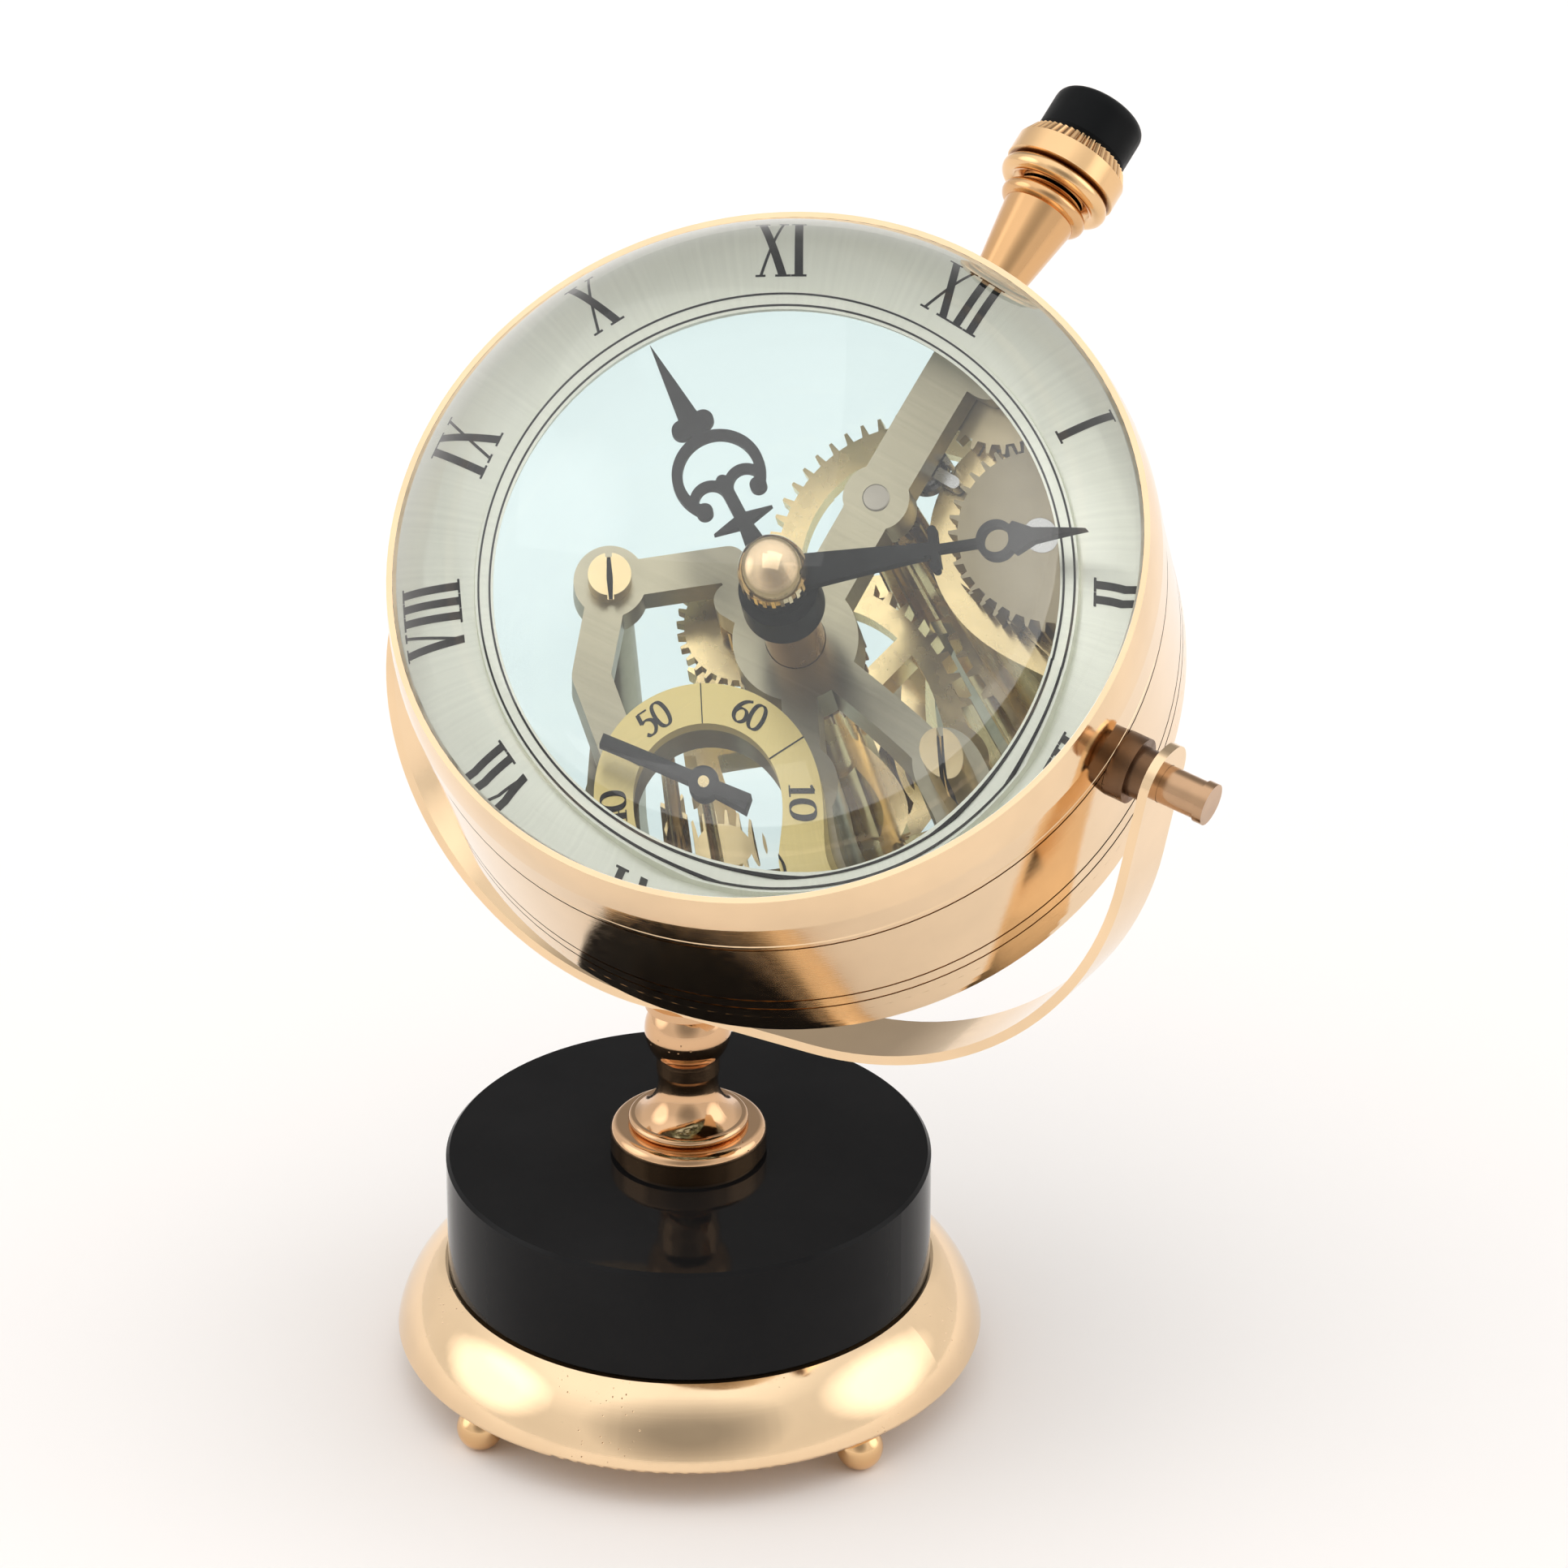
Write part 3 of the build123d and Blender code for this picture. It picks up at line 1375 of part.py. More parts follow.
def minute_hand():
    """Long hand: broad taper, cross bar, thin stem, small ring and a winged blade."""
    ring_at = (minute_ring_r, 0.0)
    outline = Circle(hand_hub_radius) + taper(0, minute_root_half, minute_bar_r, minute_taper_half)
    outline += bar((minute_bar_r, -minute_bar_half), (minute_bar_r, minute_bar_half), minute_bar_width)
    outline += bar((minute_bar_r, 0.0), (minute_ring_r - minute_ring_radius, 0.0), minute_stem_width)
    blade = taper(minute_wing_r, minute_wing_half, minute_blade_r, minute_blade_half)
    blade += taper(minute_ring_r, 0, minute_wing_r, minute_wing_half)
    outline += blade + spear(minute_blade_r, minute_blade_half, minute_tip_r)
    outline += spot(minute_ring_radius, ring_at)
    outline -= spot(minute_ring_radius - minute_ring_band, ring_at)
    outline -= Circle(centre_arbor_radius + fit_clearance)
    return slab(Rot(0, 0, minute_hand_angle) * outline, minute_hand_z, minute_hand_z + hand_thickness)


def hand_cap():
    """Domed nut with a fluted skirt over the minute hand."""
    base = minute_hand_z + hand_thickness
    skirt_top = base + cap_skirt_height
    root = cap_radius - cap_flute_depth
    skirt = tooth_ring(cap_flutes, cap_radius, root, 0, tooth_root_share, tooth_root_share)
    top = base + cap_height
    rise = top - skirt_top
    dome_radius = (cap_radius ** 2 + rise ** 2) / (2 * rise)
    edge_bearing = degrees(atan2(dome_radius - rise, cap_radius))
    dome = turned(
        Polyline((0, top), (0, skirt_top), (cap_radius, skirt_top)),
        circle_arc((0, top - dome_radius), dome_radius, edge_bearing, 90),
    )
    body = slab(skirt, base, skirt_top) + dome
    return body - rod(centre_arbor_radius + fit_clearance, base - overrun, skirt_top)


def seconds_hand():
    """Plain hand on the fourth arbor with a broader tail."""
    outline = taper(0, seconds_half, seconds_tip_r, seconds_half)
    outline += taper(-seconds_tail_r, seconds_tail_half, 0, seconds_half)
    outline += Circle(seconds_hub_radius)
    outline -= Circle(pivot_radius + fit_clearance)
    top = seconds_hand_z + seconds_hand_thickness
    return at_point(fourth_at, slab(Rot(0, 0, seconds_hand_angle) * outline, seconds_hand_z, top))


# Winding

def crown_wheel():
    """Winding wheel under the front plate."""
    phase = mesh_phase(barrel_at, crown_wheel_at, ratchet_teeth, 0, crown_wheel_teeth)
    outline = gear(crown_wheel_teeth, winding_module, phase) - Circle(shoulder_radius + running_clearance)
    return at_point(crown_wheel_at, slab(outline, ratchet_z, ratchet_z + ratchet_thickness))


def winding_screws():
    """Shouldered screws that carry the crown wheel and the click."""
    shoulder_low = ratchet_z - side_clearance
    screw = rod(shoulder_radius, shoulder_low, plate_back_z)
    screw += rod(shoulder_head_radius, shoulder_low - shoulder_head_height, shoulder_low)
    screw += rod(shoulder_thread_radius, plate_back_z, plate_back_z + shoulder_thread_length)
    return Compound([at_point(place, screw) for place in (crown_wheel_at, click_at)])


def click():
    """Pawl that faces the ratchet."""
    ratchet_tip = winding_module * (ratchet_teeth / 2 + addendum_share)
    clear = ratchet_tip + click_gap + click_width / 2
    reach = spacing(click_at, barrel_at) - clear
    tip = polar(click_at, reach, bearing_of(click_at, barrel_at))
    outline = bar(click_at, tip, click_width) + spot(click_boss_radius, click_at)
    outline -= spot(shoulder_radius + running_clearance, click_at)
    return slab(outline, ratchet_z, ratchet_z + ratchet_thickness)


def click_spring():
    """Leaf spring beside the click, on a foot under the front plate."""
    foot = (click_spring_x, click_spring_y)
    end = (click_spring_end_x, click_spring_end_y)
    body = slab(bar(foot, end, click_spring_width), ratchet_z, ratchet_z + ratchet_thickness)
    return body + rod(click_spring_foot, ratchet_z, plate_back_z, foot)


def pendant_tube():
    """Tapered tube on the drum with a moulded ring, bored for stem and sleeve."""
    foot_y = drum_radius - overrun
    body = turned(
        Polyline(
            (0, foot_y), (pendant_foot_radius, foot_y), (pendant_foot_radius, drum_radius),
            (pendant_top_radius, pendant_top_y),
        ),
        ThreePointArc(
            (pendant_top_radius, pendant_top_y),
            (pendant_ring_radius, (pendant_top_y + pendant_ring_y) / 2),
            (pendant_top_radius, pendant_ring_y),
        ),
        Polyline(
            (pendant_top_radius, pendant_ring_y), (pendant_end_radius, pendant_ring_y),
            (pendant_end_radius, pendant_end_y), (0, pendant_end_y), (0, foot_y),
        ),
    )
    body = upward(body) - rod(drum_radius + fit_clearance, -drum_radius, drum_radius)
    body += upward_rod(pendant_shank_radius, pendant_inner_y, drum_radius + pendant_foot_radius / 2)
    body -= upward_rod(stem_radius + running_clearance, 0, pendant_end_y + overrun)
    return body - upward_rod(sleeve_radius + running_clearance, pendant_bore_y, pendant_end_y + overrun)


def setting_sleeve():
    """Sleeve that slides in the pendant when the crown is pulled."""
    return upward(tube(sleeve_radius, stem_radius + running_clearance, sleeve_inner_y, sleeve_outer_y))


def winding_stem():
    """Stem from the winding pinion out into the knob."""
    return upward_rod(stem_radius, stem_inner_y, stem_outer_y)


def winding_pinion():
    """Pinion on the inner end of the stem."""
    outline = gear(winding_pinion_teeth, winding_pinion_module, 0) - Circle(stem_radius + running_clearance)
    return upward(slab(outline, pinion_inner_y, pinion_outer_y))


def knurl_ring(radius):
    """Toothed outline of the knurl, its roots one knurl depth inside a radius."""
    root = radius - crown_knurl_depth
    return tooth_ring(crown_knurl_count, radius, root, 0, tooth_tip_share, 2 * tooth_root_share)


def crown_collar():
    """Brass collar with a bead, a plain band and a knurled bevel."""
    body = turned(
        Polyline((0, crown_knurl_y), (0, crown_inner_y), (crown_root_radius, crown_inner_y)),
        ThreePointArc(
            (crown_root_radius, crown_inner_y),
            (crown_bead_radius, crown_inner_y + crown_bead_height / 2),
            (crown_groove_radius, crown_bead_y),
        ),
        Polyline(
            (crown_groove_radius, crown_bead_y), (crown_band_radius, crown_band_y),
            (crown_band_radius, crown_knurl_y), (0, crown_knurl_y),
        ),
    )
    low = Pos(0, 0, crown_knurl_y) * knurl_ring(crown_band_radius)
    high = Pos(0, 0, crown_outer_y) * knurl_ring(crown_knurl_end_radius)
    body += loft([low, high], ruled=True)
    return upward(body) - upward_rod(stem_radius + fit_clearance, 0, crown_outer_y + overrun)


def crown_knob():
    """Black knob with a slight waist and a domed end."""
    waist_y = crown_outer_y + knob_waist_height
    straight_y = crown_outer_y + knob_straight_height
    edge = (knob_radius, straight_y)
    middle = polar((0.0, straight_y), knob_radius, 45)
    squash = (knob_outer_y - straight_y) / knob_radius
    dome_middle = (middle[0], straight_y + (middle[1] - straight_y) * squash)
    body = turned(
        Polyline((0, crown_outer_y), (knob_waist_radius, crown_outer_y), (knob_radius, waist_y), edge),
        Spline(edge, dome_middle, (0, knob_outer_y), tangents=((0, 1), (-1, 0))),
        Line((0, knob_outer_y), (0, crown_outer_y)),
    )
    return upward(body) - upward_rod(stem_radius + fit_clearance, 0, stem_outer_y)


def least_gap(start_radius, turns, pitch, strip):
    """Least space between neighbouring turns, measured on points of the drawn spiral."""
    outer = spiral_points(start_radius + strip, turns, pitch)
    inner = spiral_points(start_radius, turns, pitch)
    turn = 2 * spiral_steps
    return min(
        spacing(a, b)
        for index, a in enumerate(outer[:-turn])
        for b in inner[index + turn - spiral_steps // 2:index + turn + spiral_steps // 2]
    )


def spiral_points(start_radius, turns, pitch):
    """Points along one edge of a spiral, a fixed number to each half turn."""
    points = []
    for half in range(2 * turns):
        centre = (pitch / 2 * (half % 2), 0.0)
        radius = start_radius + half * pitch / 2
        for step in range(spiral_steps):
            points.append(polar(centre, radius, 180 * (half % 2) + 180 * step / spiral_steps))
    return points


stand_pieces = {
    "ball_feet": ball_feet, "base_saucer": base_saucer, "pedestal": pedestal, "tie_rod": tie_rod,
    "tie_washer": tie_washer, "tie_nut": tie_nut, "yoke": yoke, "yoke_screw": yoke_screw,
}
head_pieces = (
    case_drum, front_bezel, rear_bezel, front_lens, rear_lens, pivot_pins, pivot_spacers,
    dial_spacer, dial_carrier, chapter_ring, dial_rail, seconds_ring,
    front_plate, rear_plate, plate_pillars, plate_screws, movement_posts,
    centre_wheel, intermediate_wheel, barrel, barrel_cover, mainspring, barrel_arbor, ratchet_wheel,
    third_wheel, fourth_wheel, escape_wheel, pallet_fork, pallet_cock, balance_wheel, hairspring,
    balance_cock, seconds_cock, cannon_pinion, minute_wheel, hour_wheel,
    hour_hand, minute_hand, hand_cap, seconds_hand,
    crown_wheel, winding_screws, click, click_spring,
    pendant_tube, setting_sleeve, winding_stem, winding_pinion, crown_collar, crown_knob,
)

for name, piece in stand_pieces.items():
    save(name, piece())
save("plinth_body", plinth_layer(plinth_z, plinth_seam_z, True, False))
save("plinth_top", plinth_layer(plinth_seam_z, pedestal_z, False, True))
for piece in head_pieces:
    save_head(piece.__name__, piece())
print("hairspring least gap", round(
    least_gap(hairspring_start_radius, hairspring_turns, hairspring_pitch, hairspring_strip), 3,
))
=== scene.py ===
import bpy
import bmesh
import json
import math
from mathutils import Matrix, Vector


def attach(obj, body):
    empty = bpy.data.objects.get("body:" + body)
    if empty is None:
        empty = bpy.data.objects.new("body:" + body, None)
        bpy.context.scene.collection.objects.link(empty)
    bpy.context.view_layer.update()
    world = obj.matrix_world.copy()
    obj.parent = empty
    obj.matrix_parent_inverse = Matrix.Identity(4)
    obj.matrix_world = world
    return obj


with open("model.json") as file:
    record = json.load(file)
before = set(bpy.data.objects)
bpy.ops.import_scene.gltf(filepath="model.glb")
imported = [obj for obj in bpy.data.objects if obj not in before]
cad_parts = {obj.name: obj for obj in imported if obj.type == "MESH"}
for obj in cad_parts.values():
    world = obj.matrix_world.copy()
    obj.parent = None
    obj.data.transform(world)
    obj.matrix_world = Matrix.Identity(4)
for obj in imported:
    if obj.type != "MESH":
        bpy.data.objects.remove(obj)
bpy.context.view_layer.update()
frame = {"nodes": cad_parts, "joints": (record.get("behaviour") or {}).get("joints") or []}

# One millimetre in the scene's unit
MM = 0.001
WHITE = (1, 1, 1)
JOINTS = {joint["name"]: joint for joint in frame["joints"]}


# The dial frame: X towards III, Y towards XII, Z towards the viewer
def dial_frame():
    pivot = Vector(JOINTS["head_tilt"]["axis"])
    normal = Vector(JOINTS["minute_turn"]["axis"])
    twelve = normal.cross(pivot)
    place = Matrix((pivot, twelve, normal)).transposed().to_4x4()
    place.translation = JOINTS["head_tilt"]["pos_m"]
    return place


DIAL = dial_frame()
TO_DIAL = DIAL.inverted()


# Where a joint's axis meets the dial, in millimetres
def on_dial(joint):
    place = TO_DIAL @ Vector(JOINTS[joint]["pos_m"]) / MM
    return place.x, place.y


# Height of a CAD node's front face in the dial frame, in millimetres
def front_of(name):
    corners = frame["nodes"][name].data.vertices
    return max((TO_DIAL @ corner.co).z for corner in corners) / MM


# Camera
VIEW_AZIMUTH = math.radians(29.5)
VIEW_ELEVATION = math.radians(28.0)
VIEW_DISTANCE = 0.816
VIEW_TARGET = Vector((0.00855, 0.00484, 0.0675))
LENS = 186.3
SENSOR = 36.0


def make_camera():
    camera = bpy.data.cameras.new("camera")
    camera.lens = LENS
    camera.sensor_width = SENSOR
    view = bpy.data.objects.new("camera", camera)
    bpy.context.scene.collection.objects.link(view)
    level = math.cos(VIEW_ELEVATION)
    across = math.sin(VIEW_AZIMUTH) * level
    along = math.cos(VIEW_AZIMUTH) * level
    back = Vector((across, -along, math.sin(VIEW_ELEVATION)))
    view.location = VIEW_TARGET + back * VIEW_DISTANCE
    view.rotation_mode = "QUATERNION"
    view.rotation_quaternion = (-back).to_track_quat("-Z", "Y")
    bpy.context.scene.camera = view


# Node helpers
def start_material(name):
    material = bpy.data.materials.new(name)
    material.use_nodes = True
    tree = material.node_tree
    return material, tree, tree.nodes["Principled BSDF"]


def node(tree, kind, **settings):
    made = tree.nodes.new(kind)
    for name, value in settings.items():
        if name in made.inputs:
            made.inputs[name].default_value = value
        else:
            setattr(made, name, value)
    return made


def set_input(shader, **values):
    for name, value in values.items():
        shader.inputs[name.replace("_", " ")].default_value = value


def object_point(tree):
    return node(tree, "ShaderNodeTexCoord").outputs["Object"]


def dial_point(tree):
    turn = node(tree, "ShaderNodeMapping", vector_type="TEXTURE")
    turn.inputs["Location"].default_value = DIAL.translation
    turn.inputs["Rotation"].default_value = DIAL.to_euler()
    tree.links.new(object_point(tree), turn.inputs["Vector"])
    return turn.outputs["Vector"]


def stretched(tree, point, scale):
    made = node(tree, "ShaderNodeMapping")
    made.inputs["Scale"].default_value = scale
    tree.links.new(point, made.inputs["Vector"])
    return made.outputs["Vector"]


def noise(tree, point, scale, detail=3.0, rough=0.55):
    made = node(tree, "ShaderNodeTexNoise", Scale=scale, Detail=detail, Roughness=rough)
    tree.links.new(point, made.inputs["Vector"])
    return made.outputs["Fac"]


def noise_along(tree, value, scale, detail=3.0):
    made = node(tree, "ShaderNodeTexNoise", noise_dimensions="1D", Scale=scale, Detail=detail)
    tree.links.new(value, made.inputs["W"])
    return made.outputs["Fac"]


def ramp(tree, factor, stops):
    made = node(tree, "ShaderNodeValToRGB")
    edges = made.color_ramp.elements
    while len(edges) < len(stops):
        edges.new(0.5)
    for edge, (place, colour) in zip(edges, stops):
        edge.position = place
        edge.color = (*colour, 1)
    tree.links.new(factor, made.inputs["Fac"])
    return made.outputs["Color"]


# The part of a noise's range over which a colour or a gloss drifts
DRIFT_START = 0.3
DRIFT_END = 0.7


def drifted(tree, factor, low, high):
    return ramp(tree, factor, [(DRIFT_START, low), (DRIFT_END, high)])


def spread(tree, factor, low, high, start=DRIFT_START, end=DRIFT_END):
    made = node(tree, "ShaderNodeMapRange")
    made.inputs["From Min"].default_value = start
    made.inputs["From Max"].default_value = end
    made.inputs["To Min"].default_value = low
    made.inputs["To Max"].default_value = high
    tree.links.new(factor, made.inputs["Value"])
    return made.outputs["Result"]


def math_of(tree, kind, first, second):
    made = node(tree, "ShaderNodeMath", operation=kind)
    for place, value in zip(made.inputs, (first, second)):
        if isinstance(value, (int, float)):
            place.default_value = value
        else:
            tree.links.new(value, place)
    return made.outputs["Value"]


def vector_of(tree, kind, first, second=None, output="Vector"):
    made = node(tree, "ShaderNodeVectorMath", operation=kind)
    tree.links.new(first, made.inputs[0])
    if second is not None:
        made.inputs[1].default_value = second
    return made.outputs[output]


def multiplied(tree, first, second):
    made = node(tree, "ShaderNodeMix", data_type="RGBA", blend_type="MULTIPLY")
    made.inputs["Factor"].default_value = 1.0
    colours = [place for place in made.inputs if place.type == "RGBA"]
    tree.links.new(first, colours[0])
    tree.links.new(second, colours[1])
    return [place for place in made.outputs if place.type == "RGBA"][0]


def bump(tree, shader, *layers):
    before = None
    for height, distance, strength in layers:
        made = node(tree, "ShaderNodeBump", Strength=strength, Distance=distance)
        tree.links.new(height, made.inputs["Height"])
        if before is not None:
            tree.links.new(before, made.inputs["Normal"])
        before = made.outputs["Normal"]
    tree.links.new(before, shader.inputs["Normal"])


def shade_of(colour, share):
    return tuple(part * share for part in colour)


# Distance from a turning axis plus height, which draws rings on every turned surface
LATHE_SLOPE = 1.7


def lathe(tree, point):
    split = node(tree, "ShaderNodeSeparateXYZ")
    tree.links.new(point, split.inputs["Vector"])
    sides = [split.outputs[axis] for axis in ("X", "Y")]
    squares = [math_of(tree, "MULTIPLY", side, side) for side in sides]
    radius = math_of(tree, "SQRT", math_of(tree, "ADD", *squares), 0.0)
    return math_of(tree, "ADD", radius, math_of(tree, "MULTIPLY", split.outputs["Z"], LATHE_SLOPE))


# Sparse small pits in patches, from 1 in the middle of a pit down to 0
PIT_SCALE = 1500.0
PIT_CORE = 0.05
PIT_RIM = 0.16
PIT_PATCH_SHARE = 0.06
PIT_PATCH_EDGE = 0.08


def pits(tree, point, cover):
    cells = node(tree, "ShaderNodeTexVoronoi", Scale=PIT_SCALE)
    tree.links.new(point, cells.inputs["Vector"])
    dots = spread(tree, cells.outputs["Distance"], 1.0, 0.0, PIT_CORE, PIT_RIM)
    wide = noise(tree, point, PIT_SCALE * PIT_PATCH_SHARE)
    start = 1.0 - cover
    patches = spread(tree, wide, 0.0, 1.0, start, start + PIT_PATCH_EDGE)
    return math_of(tree, "MULTIPLY", dots, patches)


# How open each point lies to its surroundings, from 0 deep in a groove to 1
OPENNESS_SAMPLES = 8


def openness(tree, reach):
    made = node(tree, "ShaderNodeAmbientOcclusion", samples=OPENNESS_SAMPLES, only_local=True)
    made.inputs["Distance"].default_value = reach
    return made.outputs["AO"]


# Polished metals: drift of colour and gloss, turning lines, pits where worn, painted shade in grooves
FINE_GRAIN = 900.0
FINE_DETAIL = 4.0
WAVE_RELIEF = 0.02 * MM
LATHE_GRAIN = 2600.0
LATHE_DETAIL = 5.0
LATHE_RELIEF = 0.008 * MM
LATHE_STRENGTH = 0.35
PIT_TINT = (0.32, 0.22, 0.14)
PIT_RELIEF = 0.08 * MM
PIT_STRENGTH = 0.6
# Painted shade in grooves: its colour, and the openness at which it is full and at which it ends
GROOVE_SHADE_TINT = (0.24, 0.155, 0.10)
GROOVE_SHADE_FULL = 0.66
GROOVE_SHADE_END = 0.94


def metal(name, colour, gloss, drift=0.9, patch=90.0, axis=None, worn=0.0, groove_shade_reach=0.0):
    material, tree, shader = start_material(name)
    set_input(shader, Metallic=1.0)
    point = object_point(tree)
    slow = noise(tree, point, patch)
    quick = noise(tree, point, FINE_GRAIN, FINE_DETAIL)
    tint = drifted(tree, slow, shade_of(colour, drift), colour)
    layers = [(slow, WAVE_RELIEF, 1.0)]
    if axis is not None:
        rings = noise_along(tree, lathe(tree, axis(tree)), LATHE_GRAIN, LATHE_DETAIL)
        layers.append((rings, LATHE_RELIEF, LATHE_STRENGTH))
    if worn:
        holes = pits(tree, point, worn)
        tint = multiplied(tree, tint, ramp(tree, holes, [(0.0, WHITE), (1.0, PIT_TINT)]))
        layers.append((math_of(tree, "SUBTRACT", 1.0, holes), PIT_RELIEF, PIT_STRENGTH))
    # Painted shade: grooves darken by how closed in they lie
    if groove_shade_reach:
        groove_shade = ramp(tree, openness(tree, groove_shade_reach), [(GROOVE_SHADE_FULL, GROOVE_SHADE_TINT), (GROOVE_SHADE_END, WHITE)])
        tint = multiplied(tree, tint, groove_shade)
    tree.links.new(tint, shader.inputs["Base Color"])
    tree.links.new(spread(tree, quick, *gloss), shader.inputs["Roughness"])
    bump(tree, shader, *layers)
    return material


# Brushed plate: grain drawn out along one direction of the dial
BRUSH_GRAIN = (40.0, 2600.0, 2600.0)
BRUSH_ROUGH = 0.6
BRUSH_SHADE = 0.86
BRUSH_PATCH = 120.0
BRUSH_RELIEF = 0.015 * MM
BRUSH_STRENGTH = 0.6


def brushed(name, colour, gloss):
    material, tree, shader = start_material(name)
    set_input(shader, Metallic=1.0)
    strokes = stretched(tree, dial_point(tree), BRUSH_GRAIN)
    grain = noise(tree, strokes, 1.0, FINE_DETAIL, BRUSH_ROUGH)
    slow = noise(tree, object_point(tree), BRUSH_PATCH)
    tint = drifted(tree, grain, shade_of(colour, BRUSH_SHADE), colour)
    tree.links.new(tint, shader.inputs["Base Color"])
    tree.links.new(spread(tree, slow, *gloss), shader.inputs["Roughness"])
    bump(tree, shader, (grain, BRUSH_RELIEF, BRUSH_STRENGTH))
    return material


# Lacquers, plastics and inks
LACQUER_PATCH = 60.0
LACQUER_GRAIN = 700.0
LACQUER_RELIEF = 0.01 * MM
LACQUER_STRENGTH = 0.5


def lacquer(name, colour, lift, gloss, specular):
    material, tree, shader = start_material(name)
    set_input(shader, Specular_IOR_Level=specular)
    point = object_point(tree)
    slow = noise(tree, point, LACQUER_PATCH)
    quick = noise(tree, point, LACQUER_GRAIN, FINE_DETAIL)
    tree.links.new(drifted(tree, slow, colour, lift), shader.inputs["Base Color"])
    tree.links.new(spread(tree, quick, *gloss), shader.inputs["Roughness"])
    bump(tree, shader, (quick, LACQUER_RELIEF, LACQUER_STRENGTH))
    return material


# Each dome: heights of its centre and its tip in the dial frame
FRONT_DOME = (-7.44, 34.58)
REAR_DOME = (29.98, -29.99)
# Distances from the tip up to which its mend is full, and at which it ends
TIP_FULL = 2.2
TIP_END = 2.8


# Exact dome normal close to the tip, where many mesh triangles meet in one point
def smooth_tip(tree, shader, centre_z, tip_z):
    point = dial_point(tree)
    from_centre = vector_of(tree, "SUBTRACT", point, (0, 0, centre_z * MM))
    outward = vector_of(tree, "NORMALIZE", from_centre)
    turn = node(tree, "ShaderNodeMapping", vector_type="VECTOR")
    turn.inputs["Rotation"].default_value = DIAL.to_euler()
    tree.links.new(outward, turn.inputs["Vector"])
    world = node(tree, "ShaderNodeVectorTransform", vector_type="NORMAL")
    world.convert_from = "OBJECT"
    world.convert_to = "WORLD"
    tree.links.new(turn.outputs["Vector"], world.inputs["Vector"])
    surface = node(tree, "ShaderNodeNewGeometry")
    side = spread(tree, surface.outputs["Backfacing"], 1.0, -1.0, 0.0, 1.0)
    facing = node(tree, "ShaderNodeVectorMath", operation="SCALE")
    tree.links.new(world.outputs["Vector"], facing.inputs[0])
    tree.links.new(side, facing.inputs["Scale"])
    distance = vector_of(tree, "DISTANCE", point, (0, 0, tip_z * MM), "Value")
    share = spread(tree, distance, 1.0, 0.0, TIP_FULL * MM, TIP_END * MM)
    blend = node(tree, "ShaderNodeMix", data_type="VECTOR")
    tree.links.new(share, blend.inputs["Factor"])
    vectors = [place for place in blend.inputs if place.type == "VECTOR" and place.name in ("A", "B")]
    tree.links.new(surface.outputs["Normal"], vectors[0])
    tree.links.new(facing.outputs["Vector"], vectors[1])
    result = [place for place in blend.outputs if place.type == "VECTOR"][0]
    tree.links.new(result, shader.inputs["Normal"])


# Crystal: clear glass with a faint tint
GLASS_IOR = 1.5
GLASS_PATCH = 30.0
GLASS_SHADE = 0.99
GLASS_GRAIN = 500.0
GLASS_ROUGHNESS = (0.0, 0.004)


def crystal(name, tint, dome):
    material, tree, shader = start_material(name)
    smooth_tip(tree, shader, *dome)
    set_input(shader, Transmission_Weight=1.0, IOR=GLASS_IOR)
    point = object_point(tree)
    colour = drifted(tree, noise(tree, point, GLASS_PATCH), tint, shade_of(tint, GLASS_SHADE))
    gloss = spread(tree, noise(tree, point, GLASS_GRAIN), *GLASS_ROUGHNESS)
    tree.links.new(colour, shader.inputs["Base Color"])
    tree.links.new(gloss, shader.inputs["Roughness"])
    return material


# Dial rings: sunray grain round the dial's centre
RAY_SCALE = 420.0
RAY_SHADE = 0.95
RAY_RELIEF = 0.01 * MM
RAY_STRENGTH = 0.5
RING_PATCH = 70.0
RING_SPECULAR = 0.3


def sunray(name, colour, gloss, metallic):
    material, tree, shader = start_material(name)
    set_input(shader, Metallic=metallic, Specular_IOR_Level=RING_SPECULAR)
    round_dial = node(tree, "ShaderNodeTexGradient", gradient_type="RADIAL")
    tree.links.new(dial_point(tree), round_dial.inputs["Vector"])
    rays = noise_along(tree, round_dial.outputs["Fac"], RAY_SCALE)
    slow = noise(tree, object_point(tree), RING_PATCH)
    tint = drifted(tree, rays, shade_of(colour, RAY_SHADE), colour)
    tree.links.new(tint, shader.inputs["Base Color"])
    tree.links.new(spread(tree, slow, *gloss), shader.inputs["Roughness"])
    bump(tree, shader, (rays, RAY_RELIEF, RAY_STRENGTH))
    return material


